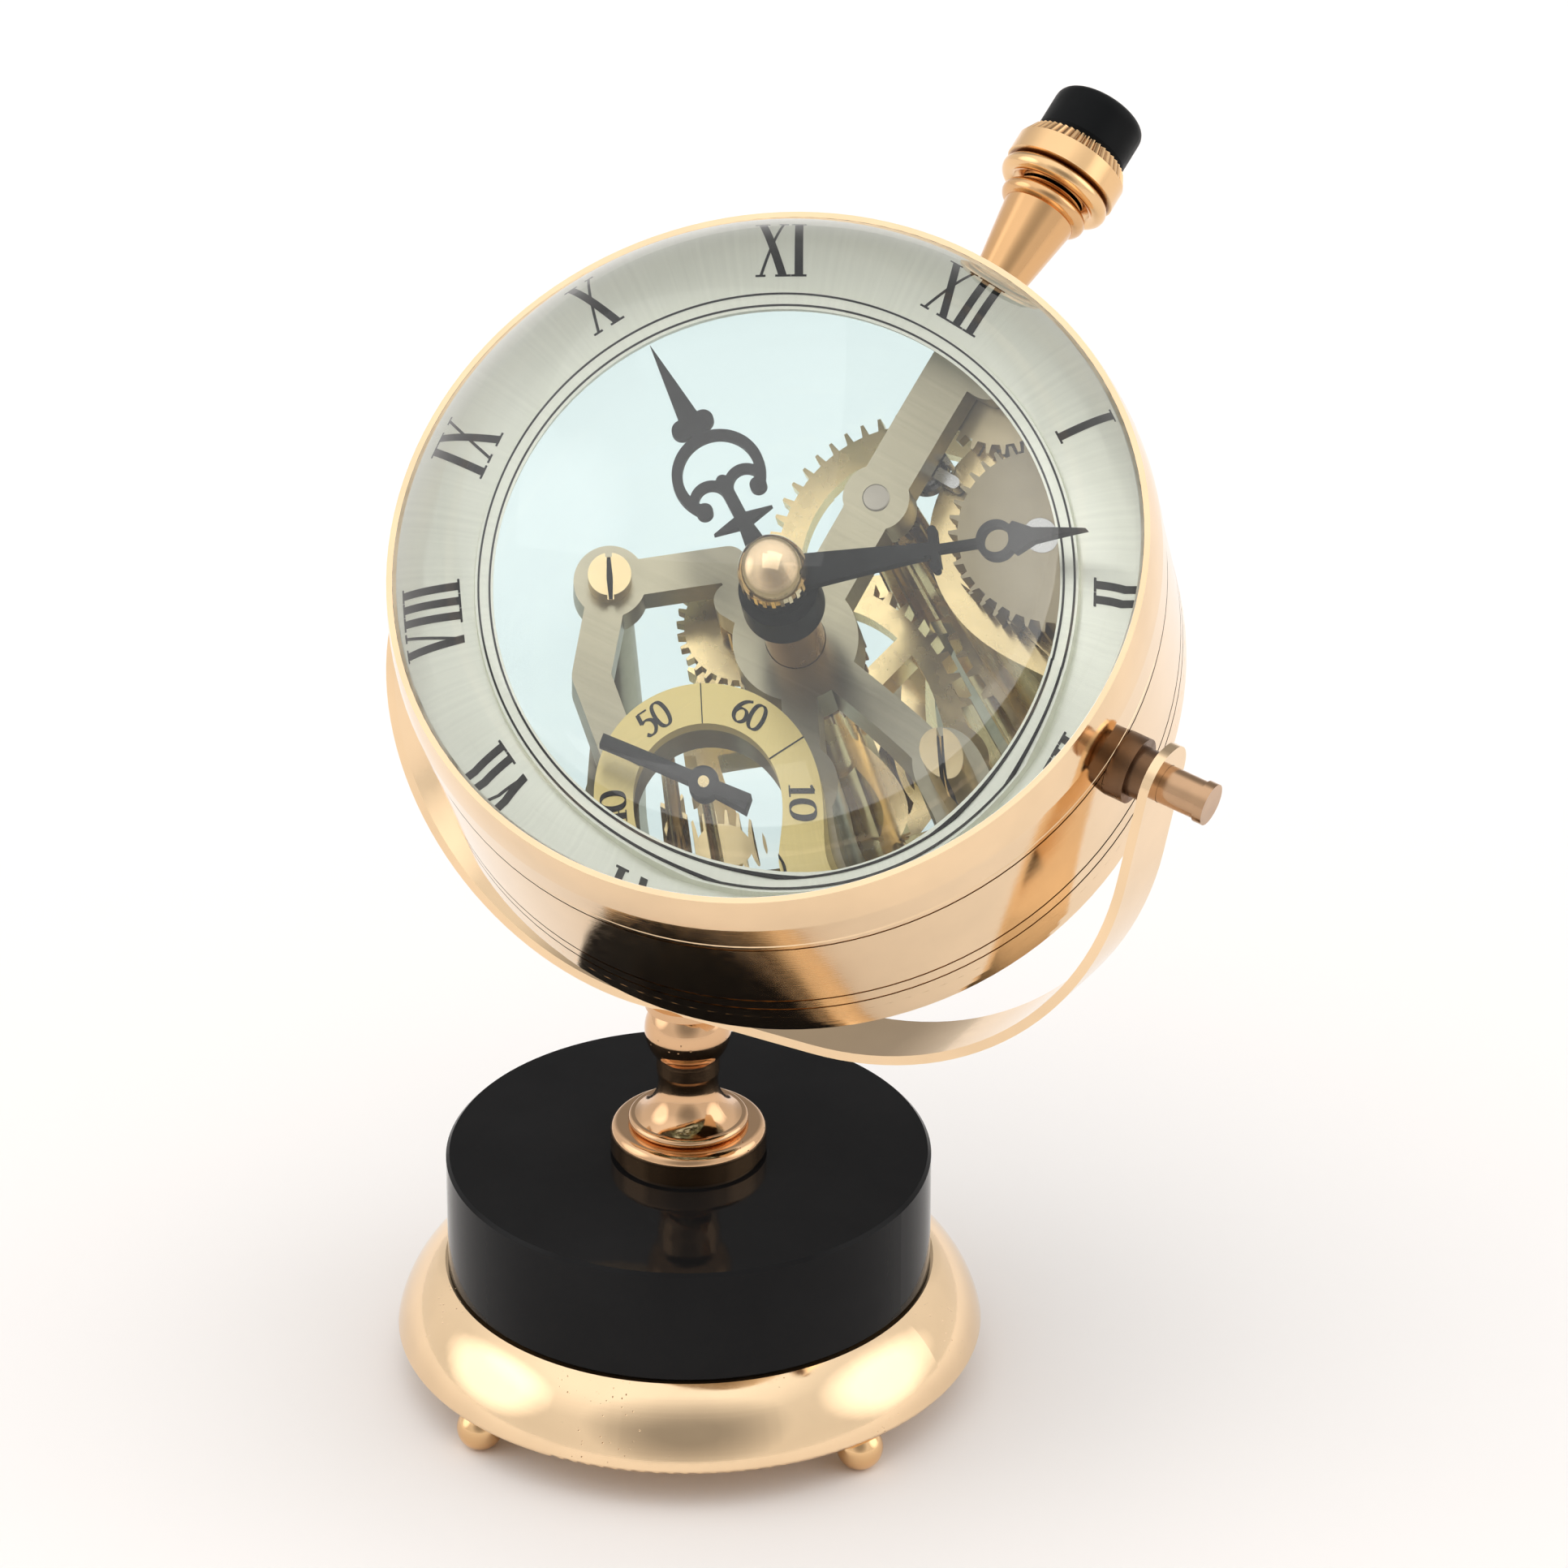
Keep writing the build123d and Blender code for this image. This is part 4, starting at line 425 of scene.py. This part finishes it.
# Finish of each material slot; a pair of numbers is the least and the most roughness
BRASS = (0.90, 0.665, 0.42)
DEEP_BRASS = (0.86, 0.56, 0.29)
BLACK = (0.009, 0.009, 0.0095)
BLACK_LIFT = (0.013, 0.013, 0.0135)
DEEP_BLACK = (0.003, 0.0035, 0.004)
DEEP_BLACK_LIFT = (0.005, 0.0055, 0.006)
MATERIALS = {
    "polished_brass": metal("polished_brass", BRASS, (0.06, 0.14), worn=0.34),
    "black_gloss": lacquer("black_gloss", BLACK, BLACK_LIFT, (0.03, 0.07), specular=0.07),
    "black_satin": lacquer("black_satin", DEEP_BLACK, DEEP_BLACK_LIFT, (0.34, 0.48), specular=0.08),
    "dark_bronze": metal("dark_bronze", (0.24, 0.14, 0.08), (0.24, 0.4), drift=0.6),
    "crystal": crystal("crystal", (0.975, 0.99, 0.985), FRONT_DOME),
    "silvered": sunray("silvered", (0.96, 0.97, 0.85), (0.38, 0.48), metallic=0.45),
    "gilt": sunray("gilt", (0.85, 0.68, 0.27), (0.3, 0.4), metallic=0.3),
    "satin_plate": brushed("satin_plate", (0.42, 0.38, 0.27), (0.30, 0.42)),
    "wheel_brass": metal("wheel_brass", (0.82, 0.64, 0.34), (0.2, 0.32), drift=0.82, patch=240.0),
    "steel": metal("steel", (0.52, 0.51, 0.5), (0.2, 0.34)),
}

# Nodes whose finish differs from the rest of their slot
# Reach of the painted shade in the knurl's grooves
KNURL_REACH = 0.6 * MM
TURNED = metal("turned_brass", BRASS, (0.05, 0.11), axis=dial_point)
BY_NODE = {
    "case_drum": TURNED,
    "front_bezel": TURNED,
    "rear_bezel": TURNED,
    "base_saucer": metal("stand_brass", BRASS, (0.06, 0.12), axis=object_point, worn=0.42),
    "pedestal": metal("pedestal_brass", (0.70, 0.44, 0.25), (0.06, 0.12), axis=object_point, worn=0.42),
    "ball_feet": metal("foot_brass", DEEP_BRASS, (0.10, 0.18)),
    "crown_collar": metal("knurled_brass", DEEP_BRASS, (0.10, 0.18), groove_shade_reach=KNURL_REACH),
    "pendant_tube": metal("pendant_brass", (0.74, 0.44, 0.21), (0.10, 0.18)),
    "rear_lens": crystal("rear_crystal", (0.74, 0.905, 0.92), REAR_DOME),
    "hour_wheel": metal("pipe_bronze", (0.52, 0.35, 0.22), (0.18, 0.3)),
    "plate_screws": metal("screw_brass", (0.60, 0.47, 0.26), (0.12, 0.24)),
    # Painted shade: the ratchet and crown wheels are coloured darker than the other wheels, for the shadow
    # they lie in
    "ratchet_wheel": metal("ratchet_painted_shade", (0.30, 0.25, 0.16), (0.3, 0.42)),
    "crown_wheel": metal("crown_wheel_painted_shade", (0.50, 0.41, 0.25), (0.3, 0.42)),
    "pivot_pins": metal("pin_bronze", (0.62, 0.39, 0.23), (0.12, 0.24), drift=0.7),
}

# Finishes of the pieces in mesh code
INK_BLACK = (0.005, 0.006, 0.008)
INK_LIFT = (0.009, 0.010, 0.013)
INK = lacquer("dial_ink", INK_BLACK, INK_LIFT, (0.6, 0.75), specular=0.1)
BUSH = metal("bush_grey", (0.34, 0.31, 0.26), (0.3, 0.42))


def dress_nodes():
    for name, shown in frame["nodes"].items():
        for place in shown.material_slots:
            kind = place.material.name.split(".")[0]
            place.material = BY_NODE.get(name, MATERIALS[kind])


# Mesh helpers: a part is a list of vertices and a list of faces, in the dial frame in millimetres
def prism(outline, low, high):
    count = len(outline)
    vertices = [(x, y, low) for x, y in outline] + [(x, y, high) for x, y in outline]
    faces = [tuple(range(count - 1, -1, -1)), tuple(range(count, 2 * count))]
    for i in range(count):
        j = (i + 1) % count
        faces.append((i, j, count + j, count + i))
    return vertices, faces


def turned_ring(profile, steps):
    vertices = []
    for radius, z in profile:
        for i in range(steps):
            angle = 2 * math.pi * i / steps
            vertices.append((radius * math.cos(angle), radius * math.sin(angle), z))
    faces = []
    for band in range(len(profile)):
        low = band * steps
        high = (band + 1) % len(profile) * steps
        for i in range(steps):
            j = (i + 1) % steps
            faces.append((low + i, low + j, high + j, high + i))
    return vertices, faces


def plug(profile, steps):
    vertices, faces = turned_ring(profile, steps)
    last = (len(profile) - 1) * steps
    faces = faces[:last]
    faces.append(tuple(range(steps - 1, -1, -1)))
    faces.append(tuple(range(last, last + steps)))
    return vertices, faces


def joined(parts):
    vertices = []
    faces = []
    for part_vertices, part_faces in parts:
        start = len(vertices)
        vertices += part_vertices
        faces += [tuple(start + i for i in face) for face in part_faces]
    return vertices, faces


def placed(part, angle, shift):
    vertices, faces = part
    cosine = math.cos(angle)
    sine = math.sin(angle)
    moved = []
    for x, y, z in vertices:
        moved.append((x * cosine - y * sine + shift[0], x * sine + y * cosine + shift[1], z))
    return moved, faces


def round_at(radius, bearing, middle=(0.0, 0.0)):
    return (middle[0] + radius * math.cos(bearing), middle[1] + radius * math.sin(bearing))


def add_piece(name, parts, body, material):
    vertices, faces = joined(parts)
    mesh = bpy.data.meshes.new(name)
    mesh.from_pydata([tuple(Vector(v) * MM) for v in vertices], [], faces)
    mesh.transform(DIAL)
    mesh.materials.append(material)
    mesh.update()
    piece = bpy.data.objects.new(name, mesh)
    bpy.context.scene.collection.objects.link(piece)
    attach(piece, body)


# Roman numerals with thick and thin strokes, tops outwards
NUMERALS = ("I", "II", "III", "IIII", "V", "VI", "VII", "VIII", "IX", "X", "XI", "XII")
NUMERAL_HEIGHT = 5.8
NUMERAL_RADIUS = 26.4
THICK = 0.58
THIN = 0.2
SERIF = 0.18
SERIF_REACH = 0.24
LETTER_WIDTH = {"I": 1.12, "V": 2.5, "X": 2.6}
CHAPTER_TOP = front_of("chapter_ring")
INK_HEIGHT = 0.03
TWELVE_BEARING = math.radians(90)
HOUR_ANGLE = math.radians(30)


def stroke(x_low, x_high, width):
    half = NUMERAL_HEIGHT / 2
    side = width / 2
    return [(x_low - side, -half), (x_low + side, -half), (x_high + side, half), (x_high - side, half)]


def serif(x, width, top):
    half = NUMERAL_HEIGHT / 2
    reach = width / 2 + SERIF_REACH
    y = half - SERIF if top else -half
    return [(x - reach, y), (x + reach, y), (x + reach, y + SERIF), (x - reach, y + SERIF)]


def letter(kind, x):
    lean = LETTER_WIDTH[kind] / 2 - SERIF_REACH - THICK / 2
    if kind == "I":
        return [stroke(x, x, THICK), serif(x, THICK, True), serif(x, THICK, False)]
    if kind == "V":
        down = stroke(x, x - lean, THICK)
        up = stroke(x, x + lean, THIN)
        return [down, up, serif(x - lean, THICK, True), serif(x + lean, THIN, True)]
    down = stroke(x + lean, x - lean, THICK)
    up = stroke(x - lean, x + lean, THIN)
    marks = [serif(x - lean, THICK, True), serif(x + lean, THIN, True)]
    marks += [serif(x - lean, THIN, False), serif(x + lean, THICK, False)]
    return [down, up] + marks


def numeral(text):
    width = sum(LETTER_WIDTH[kind] for kind in text)
    x = -width / 2
    outlines = []
    for kind in text:
        outlines += letter(kind, x + LETTER_WIDTH[kind] / 2)
        x += LETTER_WIDTH[kind]
    return joined([prism(outline, CHAPTER_TOP, CHAPTER_TOP + INK_HEIGHT) for outline in outlines])


def add_numerals():
    parts = []
    for hour, text in enumerate(NUMERALS, start=1):
        turn = -HOUR_ANGLE * hour
        parts.append(placed(numeral(text), turn, round_at(NUMERAL_RADIUS, TWELVE_BEARING + turn)))
    add_piece("hour_numerals", parts, "head", INK)


# Two dark lines on the thin ring inside the numerals
RAIL_TOP = front_of("dial_rail")
RAIL_LINES = (21.2, 22.1)
RAIL_STEPS = 240
LINE = 0.16


def add_rail_lines():
    top = RAIL_TOP + INK_HEIGHT
    parts = []
    for radius in RAIL_LINES:
        inner = radius - LINE / 2
        outer = radius + LINE / 2
        profile = [(inner, RAIL_TOP), (outer, RAIL_TOP), (outer, top), (inner, top)]
        parts.append(turned_ring(profile, RAIL_STEPS))
    add_piece("rail_lines", parts, "head", INK)


# Seconds numbers with a hairline between each two
SECONDS_AT = on_dial("seconds_turn")
SECONDS_TOP = front_of("seconds_ring")
SECONDS_INNER = 5.15
SECONDS_OUTER = 7.9
SECONDS_TEXT_RADIUS = 6.52
SECONDS_TEXT_HEIGHT = 1.75
SECONDS_TENS = 6
TEN_SECONDS_ANGLE = math.radians(60)
HAIRLINE = 0.07
# Digits on a unit height, in shares of it, with thick upright strokes
DIGIT_ADVANCE = 0.62
DIGIT_THIN = 0.05
DIGIT_THICK = 0.16
CURVE_STEPS = 6
DIGITS = {
    "0": [
        ("ring", [(0.26, 0.0), (0.19, 0.38), (0.0, 0.5), (-0.19, 0.38),
                  (-0.26, 0.0), (-0.19, -0.38), (0.0, -0.5), (0.19, -0.38)]),
    ],
    "1": [
        ("line", [(0.02, -0.5), (0.02, 0.5)]),
        ("line", [(-0.16, 0.38), (0.02, 0.48)]),
        ("line", [(-0.17, -0.47), (0.21, -0.47)]),
    ],
    "2": [
        ("curve", [(-0.25, 0.24), (-0.17, 0.45), (0.04, 0.49), (0.22, 0.32),
                   (0.17, 0.06), (-0.08, -0.24), (-0.27, -0.44)]),
        ("line", [(-0.27, -0.44), (0.24, -0.44)]),
        ("line", [(0.24, -0.46), (0.27, -0.26)]),
    ],
    "3": [
        ("curve", [(-0.24, 0.33), (-0.06, 0.49), (0.17, 0.38), (0.16, 0.14), (-0.04, 0.03)]),
        ("curve", [(-0.06, 0.03), (0.16, -0.02), (0.24, -0.24),
                   (0.08, -0.46), (-0.14, -0.47), (-0.26, -0.36)]),
    ],
    "4": [
        ("line", [(0.1, 0.48), (-0.28, -0.19)]),
        ("line", [(-0.28, -0.19), (0.28, -0.19)]),
        ("line", [(0.12, 0.5), (0.12, -0.48)]),
        ("line", [(-0.04, -0.48), (0.28, -0.48)]),
    ],
    "5": [
        ("line", [(-0.18, 0.46), (0.22, 0.46)]),
        ("line", [(-0.18, 0.46), (-0.22, 0.06)]),
        ("curve", [(-0.22, 0.06), (-0.02, 0.12), (0.2, 0.0), (0.22, -0.26),
                   (0.06, -0.46), (-0.14, -0.48), (-0.26, -0.38)]),
    ],
    "6": [
        ("curve", [(0.22, 0.46), (0.0, 0.36), (-0.18, 0.14), (-0.26, -0.14), (-0.2, -0.38), (0.0, -0.5),
                   (0.2, -0.38), (0.24, -0.18), (0.16, 0.0), (0.0, 0.06), (-0.16, 0.0), (-0.24, -0.12)]),
    ],
}


# Smooth line through all points
def smooth(points, closed):
    count = len(points)
    line = []
    for i in range(count if closed else count - 1):
        around = []
        for k in (i - 1, i, i + 1, i + 2):
            around.append(Vector(points[k % count if closed else min(max(k, 0), count - 1)]))
        before, first, second, after = around
        for step in range(CURVE_STEPS):
            t = step / CURVE_STEPS
            square = (2 * before - 5 * first + 4 * second - after) * t * t
            cube = (3 * first - before - 3 * second + after) * t ** 3
            line.append((2 * first + (second - before) * t + square + cube) / 2)
    if not closed:
        line.append(Vector(points[-1]))
    return line


# Flat stroke along a line, thick where the line runs upright
def ribbon(line, closed, low, high):
    count = len(line)
    vertices = []
    for i, point in enumerate(line):
        before = line[i - 1] if closed or i else point
        after = line[(i + 1) % count] if closed or i + 1 < count else point
        along = (after - before).normalized()
        half = (DIGIT_THIN + (DIGIT_THICK - DIGIT_THIN) * abs(along.y)) / 2
        side = Vector((-along.y, along.x)) * half
        for edge in (point + side, point - side):
            vertices += [(edge.x, edge.y, low), (edge.x, edge.y, high)]
    faces = []
    for i in range(count if closed else count - 1):
        a = 4 * i
        b = 4 * ((i + 1) % count)
        faces += [(a + 1, b + 1, b + 3, a + 3), (a, a + 2, b + 2, b), (a, b, b + 1, a + 1)]
        faces.append((a + 2, a + 3, b + 3, b + 2))
    if not closed:
        end = 4 * (count - 1)
        faces += [(0, 1, 3, 2), (end, end + 2, end + 3, end + 1)]
    return vertices, faces


def digit(kind, x):
    size = SECONDS_TEXT_HEIGHT
    parts = []
    for form, points in DIGITS[kind]:
        closed = form == "ring"
        line = [Vector(p) for p in points] if form == "line" else smooth(points, closed)
        vertices, faces = ribbon(line, closed, SECONDS_TOP, SECONDS_TOP + INK_HEIGHT)
        parts.append(([((px + x) * size, py * size, pz) for px, py, pz in vertices], faces))
    return joined(parts)


def add_seconds_numbers():
    half = HAIRLINE / 2
    outline = [(SECONDS_INNER, -half), (SECONDS_OUTER, -half), (SECONDS_OUTER, half), (SECONDS_INNER, half)]
    line = prism(outline, SECONDS_TOP, SECONDS_TOP + INK_HEIGHT)
    parts = []
    for ten in range(1, SECONDS_TENS + 1):
        turn = -TEN_SECONDS_ANGLE * ten
        bearing = TWELVE_BEARING + turn
        shift = round_at(SECONDS_TEXT_RADIUS, bearing, SECONDS_AT)
        for kind, x in zip(str(10 * ten), (-DIGIT_ADVANCE / 2, DIGIT_ADVANCE / 2)):
            parts.append(placed(digit(kind, x), turn, shift))
        parts.append(placed(line, bearing + TEN_SECONDS_ANGLE / 2, SECONDS_AT))
    add_piece("seconds_numbers", parts, "head", INK)


# Grey plugs in the front plate, at two arbors and low on the right, each with a chamfered rim
LOW_PLUG = (11.9, -12.6)
BUSH_PLACES = (on_dial("intermediate_turn"), on_dial("third_turn"), LOW_PLUG)
BUSH_PROFILE = ((0.9, 0.0), (0.9, 0.03), (0.82, 0.07))
BUSH_STEPS = 48


def add_bushes():
    parts = [placed(plug(BUSH_PROFILE, BUSH_STEPS), 0.0, place) for place in BUSH_PLACES]
    add_piece("plate_bushes", parts, "head", BUSH)


# Painted shade: dark sheets on the floors of the screw slots on the front plate, wider in the middle
SCREW_PLACES = ((-12.7, -2.2), (12.7, -2.2), (9.5, -16.0))
SLOT_BEARING = math.radians(120.0)
SLOT_DEPTH = 0.4
SLOT_FLOOR = front_of("plate_screws") - SLOT_DEPTH
SLOT_HALF_LENGTH = 1.4
SLOT_HALF_WIDTH = 0.21
SLOT_END_SHARE = 0.6
SLOT_SHADE_FILM = 0.05


def add_slot_shade():
    reach = SLOT_HALF_LENGTH
    middle = SLOT_HALF_WIDTH
    end = SLOT_END_SHARE * SLOT_HALF_WIDTH
    outline = [(-reach, -end), (0.0, -middle), (reach, -end), (reach, end), (0.0, middle), (-reach, end)]
    shade_sheet = prism(outline, SLOT_FLOOR, SLOT_FLOOR + SLOT_SHADE_FILM)
    parts = [placed(shade_sheet, SLOT_BEARING, place) for place in SCREW_PLACES]
    add_piece("screw_slot_shade", parts, "head", INK)


# Floor
FLOOR_COLOURS = ((0.90, 0.875, 0.86), (0.91, 0.885, 0.87))
FLOOR_PATCH = 2.0
FLOOR_CELLS = 8
FLOOR_HALF = 4.0


def add_floor():
    material, tree, shader = start_material("floor")
    set_input(shader, Roughness=0.7, Specular_IOR_Level=0.2)
    tint = drifted(tree, noise(tree, object_point(tree), FLOOR_PATCH), *FLOOR_COLOURS)
    tree.links.new(tint, shader.inputs["Base Color"])
    mesh = bpy.data.meshes.new("floor")
    shape = bmesh.new()
    bmesh.ops.create_grid(shape, x_segments=FLOOR_CELLS, y_segments=FLOOR_CELLS, size=FLOOR_HALF)
    shape.to_mesh(mesh)
    shape.free()
    mesh.materials.append(material)
    floor = bpy.data.objects.new("floor", mesh)
    bpy.context.scene.collection.objects.link(floor)


# Soft lamps: name, place, size, power in watts and colour of each
LAMP_TARGET = Vector((0, 0, 0.06))
LAMPS = (
    ("key", (0.2, -0.6, 1.2), (0.9, 0.9), 1.8, (1.0, 0.99, 0.97)),
    ("rear", (-0.3, 0.7, 1.1), (0.8, 0.8), 1.6, (1.0, 0.98, 0.96)),
    ("side", (0.9, -0.2, 0.7), (0.5, 0.8), 0.3, (1.0, 0.97, 0.93)),
)


def add_lamps():
    for name, place, size, power, colour in LAMPS:
        lamp = bpy.data.lights.new(name, "AREA")
        lamp.shape = "RECTANGLE"
        lamp.size, lamp.size_y = size
        lamp.energy = power
        lamp.color = colour
        shown = bpy.data.objects.new(name, lamp)
        bpy.context.scene.collection.objects.link(shown)
        shown.location = place
        shown.rotation_mode = "QUATERNION"
        shown.rotation_quaternion = (LAMP_TARGET - Vector(place)).to_track_quat("-Z", "Y")
        shown.visible_glossy = False


# A studio room, which polished pieces mirror: its colours from the floor up, and its level
ROOM_COLOURS = ((0.0, (0.9, 0.89, 0.88)), (0.3, (0.86, 0.84, 0.82)), (1.0, (0.95, 0.95, 0.95)))
ROOM_LOWEST = -0.2
ROOM_LEVEL = 1.03
# Each zone of the room: middle direction, cosines where it starts and is full, and its brightness
ROOM_ZONES = (
    ((-0.43, 0.75, 0.50), 0.78, 0.95, 0.42),
    ((0.43, -0.77, 0.52), 0.78, 0.98, 0.42),
    ((-0.78, -0.47, 0.41), 0.90, 0.97, 2.1),
    ((0.80, 0.42, 0.41), 0.88, 0.97, 2.2),
    ((-0.12, -0.14, 0.97), 0.62, 0.9, 1.35),
)


def add_world():
    world = bpy.data.worlds.new("studio")
    world.use_nodes = True
    tree = world.node_tree
    back = tree.nodes["Background"]
    direction = node(tree, "ShaderNodeTexCoord").outputs["Generated"]
    split = node(tree, "ShaderNodeSeparateXYZ")
    tree.links.new(direction, split.inputs["Vector"])
    rise = spread(tree, split.outputs["Z"], 0.0, 1.0, ROOM_LOWEST, 1.0)
    level = None
    for middle, start, full, bright in ROOM_ZONES:
        towards = vector_of(tree, "DOT_PRODUCT", direction, Vector(middle).normalized(), "Value")
        zone = spread(tree, towards, 1.0, bright, start, full)
        level = zone if level is None else math_of(tree, "MULTIPLY", level, zone)
    tree.links.new(ramp(tree, rise, ROOM_COLOURS), back.inputs["Color"])
    tree.links.new(math_of(tree, "MULTIPLY", level, ROOM_LEVEL), back.inputs["Strength"])
    bpy.context.scene.world = world


make_camera()
dress_nodes()
add_numerals()
add_rail_lines()
add_seconds_numbers()
add_bushes()
add_slot_shade()
add_floor()
add_world()
add_lamps()
bpy.context.scene.view_settings.view_transform = "Standard"
